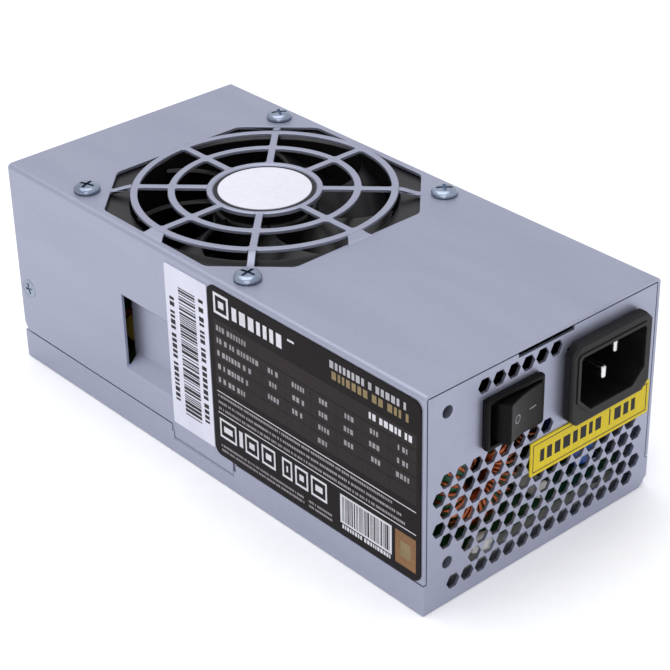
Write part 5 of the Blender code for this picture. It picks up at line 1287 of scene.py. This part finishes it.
    def panel_sticker(self, dice):
        """Yellow sticker with a border line and one line of blocks."""
        low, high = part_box("input_sticker")
        self.film("input_sticker", "sticker_film", finish("sticker_yellow"), 0.5 * MM, "yellow_sticker")
        width, height = (high.y - low.y) / MM, (high.z - low.z) / MM
        inset, rule = 0.9, 0.28
        border = [
            (inset, inset, width - inset, inset + rule),
            (inset, height - inset - rule, width - inset, height - inset),
            (inset, inset, inset + rule, height - inset),
            (width - inset - rule, inset, width - inset, height - inset),
        ]
        border += words(3.6, 0.62 * width, 0.32 * height, 0.68 * height, dice)
        border += [(0.655 * width, 0.26 * height, 0.665 * width, 0.74 * height)]
        border += words(0.7 * width, width - 3.4, 0.32 * height, 0.68 * height, dice)
        places = []
        for left, top, right, bottom in border:
            y, z = low.y + (left + right) / 2 * MM, high.z - (top + bottom) / 2 * MM
            size = (1.0, (right - left) * MM, (bottom - top) * MM)
            places.append(((high.x - STICKER_SETBACK * MM, y, z), (0.0, 0.0, 0.0), size))
        plate = block((-0.02 * MM, -0.5, -0.5), (0.012 * MM, 0.5, 0.5))
        black = finish("print_black")
        dress(scatter(plate, places, black), "sticker_print", black, "case", slot="yellow_sticker")


# ------------------------------------------------------------------ inside
OPEN_ANGLE = math.radians(46.0)  # share of a ring core that its winding leaves bare


class PSU_OT_board(bpy.types.Operator):
    """Circuit board, its insulation, the ring chokes and everything else that stands on it."""

    bl_idname = "psu.board"
    bl_label = "Circuit board"

    def execute(self, context):
        edge = 0.25 * MM
        for node, name, surface, width in (
            ("circuit_board", "main_board", "board_green", 0.05 * MM),
            ("insulation_sheet", "insulating_film", "clear_film", 0.0),
            ("primary_heatsink", "primary_fins", "mill_aluminium", 0.2 * MM),
            ("secondary_heatsink", "secondary_fins", "mill_aluminium", 0.2 * MM),
            ("switching_transistor", "transistor_package", "moulded_black", 0.15 * MM),
            ("output_rectifier", "rectifier_package", "moulded_black", 0.15 * MM),
            ("bridge_rectifier", "bridge_package", "moulded_black", 0.2 * MM),
            ("transformer_core", "transformer_frame", "ferrite", edge),
            ("transformer_winding", "transformer_tape", "winding_tape", edge),
            ("bulk_capacitor", "bulk_can", "can_sleeve", edge),
            ("output_capacitor_1", "output_can_1", "can_sleeve", edge),
            ("output_capacitor_2", "output_can_2", "can_sleeve", edge),
            ("x_capacitor", "film_capacitor_box", "film_case", edge),
            ("y_capacitor_1", "disc_capacitor_1", "blue_lacquer", edge),
            ("y_capacitor_2", "disc_capacitor_2", "blue_lacquer", edge),
            ("fuse", "fuse_tube", "clear_film", edge),
            ("choke_glue", "glue_bead", "silicone", 0.0),
        ):
            carry(node, name, finish(surface), width)
        quarter = math.pi / 2
        for name, ring, section, wire, turns, turn, surface in (
            ("filter_choke", 10.0, 4.0, 0.6, 26, (0.0, quarter, 0.0), "core_green"),
            ("line_choke", 7.5, 3.0, 0.46, 24, (quarter, 0.0, 0.0), "ferrite"),
            ("output_choke", 8.0, 3.4, 0.6, 19, (0.0, 0.0, quarter), "core_yellow"),
        ):
            self.choke(name, ring * MM, section * MM, wire * MM, turns, turn, finish(surface))
        return {"FINISHED"}

    def choke(self, name, ring, section, wire, turns, turn, surface):
        """Coated ring core and the wire wound round it, open for a few turns on one side."""
        low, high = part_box(f"{name}_core")
        centre = (low + high) / 2
        place = Matrix.Translation(centre)
        for axis, angle in zip("XYZ", turn):
            place = place @ Matrix.Rotation(angle, 4, axis)
        profile = arc(ring, 0.0, section, 90.0, -255.0, 23)
        core = soften(turned(profile, 72), 0.0)
        core.data.transform(place)
        dress(core, f"{name}_ring", surface, "case", f"{name}_core", slot=slot_of(f"{name}_core"))
        gap = OPEN_ANGLE
        copper = finish("enamelled_copper")
        values = {
            "Turns": turns,
            "Ring Radius": ring,
            "Coil Radius": section + wire + 0.05 * MM,
            "Wire Radius": wire,
            "Cover Angle": math.tau - gap,
            "Material": copper,
        }
        seed = link("seed", bpy.data.meshes.new("seed"))
        coil = apply_tree(seed, coil_tree(), values)
        coil.data.transform(place @ Matrix.Rotation(math.pi + gap / 2, 4, "Z"))
        winding = f"{name}_winding"
        dress(coil, f"{name}_coil", copper, "case", winding, slot=slot_of(winding))


# ------------------------------------------------------------------ stage
class PSU_OT_stage(bpy.types.Operator):
    """Pale floor, soft studio light and the camera."""

    bl_idname = "psu.stage"
    bl_label = "Stage"

    def execute(self, context):
        stage = settings("psu_stage")
        floor = block((-3.0, -3.0, -0.01), (3.0, 3.0, -0.0002), "floor")
        floor.data.materials.append(finish("floor_paint"))
        world = bpy.data.worlds.new("studio")
        bpy.context.scene.world = world
        world.use_nodes = True
        world.node_tree.nodes["Background"].inputs["Color"].default_value = linear("F4F5FA")
        world.node_tree.nodes["Background"].inputs["Strength"].default_value = stage.world
        self.softbox("overhead_light", (-0.1, -0.1, 0.9), (0.0, 0.0, 0.0), 0.9, stage.key)
        self.softbox("front_light", (0.75, -0.85, 0.5), (0.0, 0.0, 0.03), 0.7, stage.fill)
        self.camera(stage)
        bpy.context.scene.view_settings.view_transform = "Standard"
        return {"FINISHED"}

    def softbox(self, name, place, aim, size, power):
        lamp = bpy.data.lights.new(name, "AREA")
        lamp.energy = power
        lamp.size = size
        lamp.shape = "SQUARE"
        obj = link(name, lamp)
        obj.location = place
        obj.rotation_euler = (Vector(aim) - Vector(place)).to_track_quat("-Z", "Y").to_euler()

    def camera(self, stage):
        lens = bpy.data.cameras.new("camera")
        lens.lens = stage.lens
        lens.sensor_width = 36.0
        lens.clip_start = 0.01
        camera = link("camera", lens)
        az, el = stage.azimuth, stage.elevation
        back = Vector((math.sin(az) * math.cos(el), -math.cos(az) * math.cos(el), math.sin(el)))
        right = Vector((math.cos(az), math.sin(az), 0.0))
        up = back.cross(right)
        turned_right = right * math.cos(stage.roll) - up * math.sin(stage.roll)
        turned_up = right * math.sin(stage.roll) + up * math.cos(stage.roll)
        rotation = Matrix((turned_right, turned_up, back)).transposed()
        place = rotation @ Vector((stage.aim[0], stage.aim[1], stage.distance))
        camera.matrix_world = Matrix.Translation(place) @ rotation.to_4x4()
        bpy.context.scene.camera = camera


OPERATORS = (
    PSU_OT_cover, PSU_OT_chassis, PSU_OT_fan, PSU_OT_screws, PSU_OT_inlet, PSU_OT_switch, PSU_OT_labels,
    PSU_OT_board, PSU_OT_stage,
)


class PSU_PT_panel(bpy.types.Panel):
    """Lists the pieces in the order in which they are built."""

    bl_idname = "PSU_PT_panel"
    bl_label = "Power Supply"
    bl_space_type = "VIEW_3D"
    bl_region_type = "UI"
    bl_category = "Power Supply"

    def draw(self, context):
        for operator in OPERATORS:
            self.layout.operator(operator.bl_idname)
        for name, group in SETTINGS.items():
            box = self.layout.box()
            for field in group.__annotations__:
                box.prop(getattr(context.scene, name), field)


def register():
    for group in SETTINGS.values():
        bpy.utils.register_class(group)
    for name, group in SETTINGS.items():
        setattr(bpy.types.Scene, name, PointerProperty(type=group))
    for operator in OPERATORS:
        bpy.utils.register_class(operator)
    bpy.utils.register_class(PSU_PT_panel)


def unregister():
    bpy.utils.unregister_class(PSU_PT_panel)
    for operator in reversed(OPERATORS):
        bpy.utils.unregister_class(operator)
    for name in SETTINGS:
        delattr(bpy.types.Scene, name)
    for group in reversed(list(SETTINGS.values())):
        bpy.utils.unregister_class(group)


def main():
    register()
    for operator in OPERATORS:
        group, name = operator.bl_idname.split(".")
        getattr(getattr(bpy.ops, group), name)()


if __name__ == "__main__":
    main()
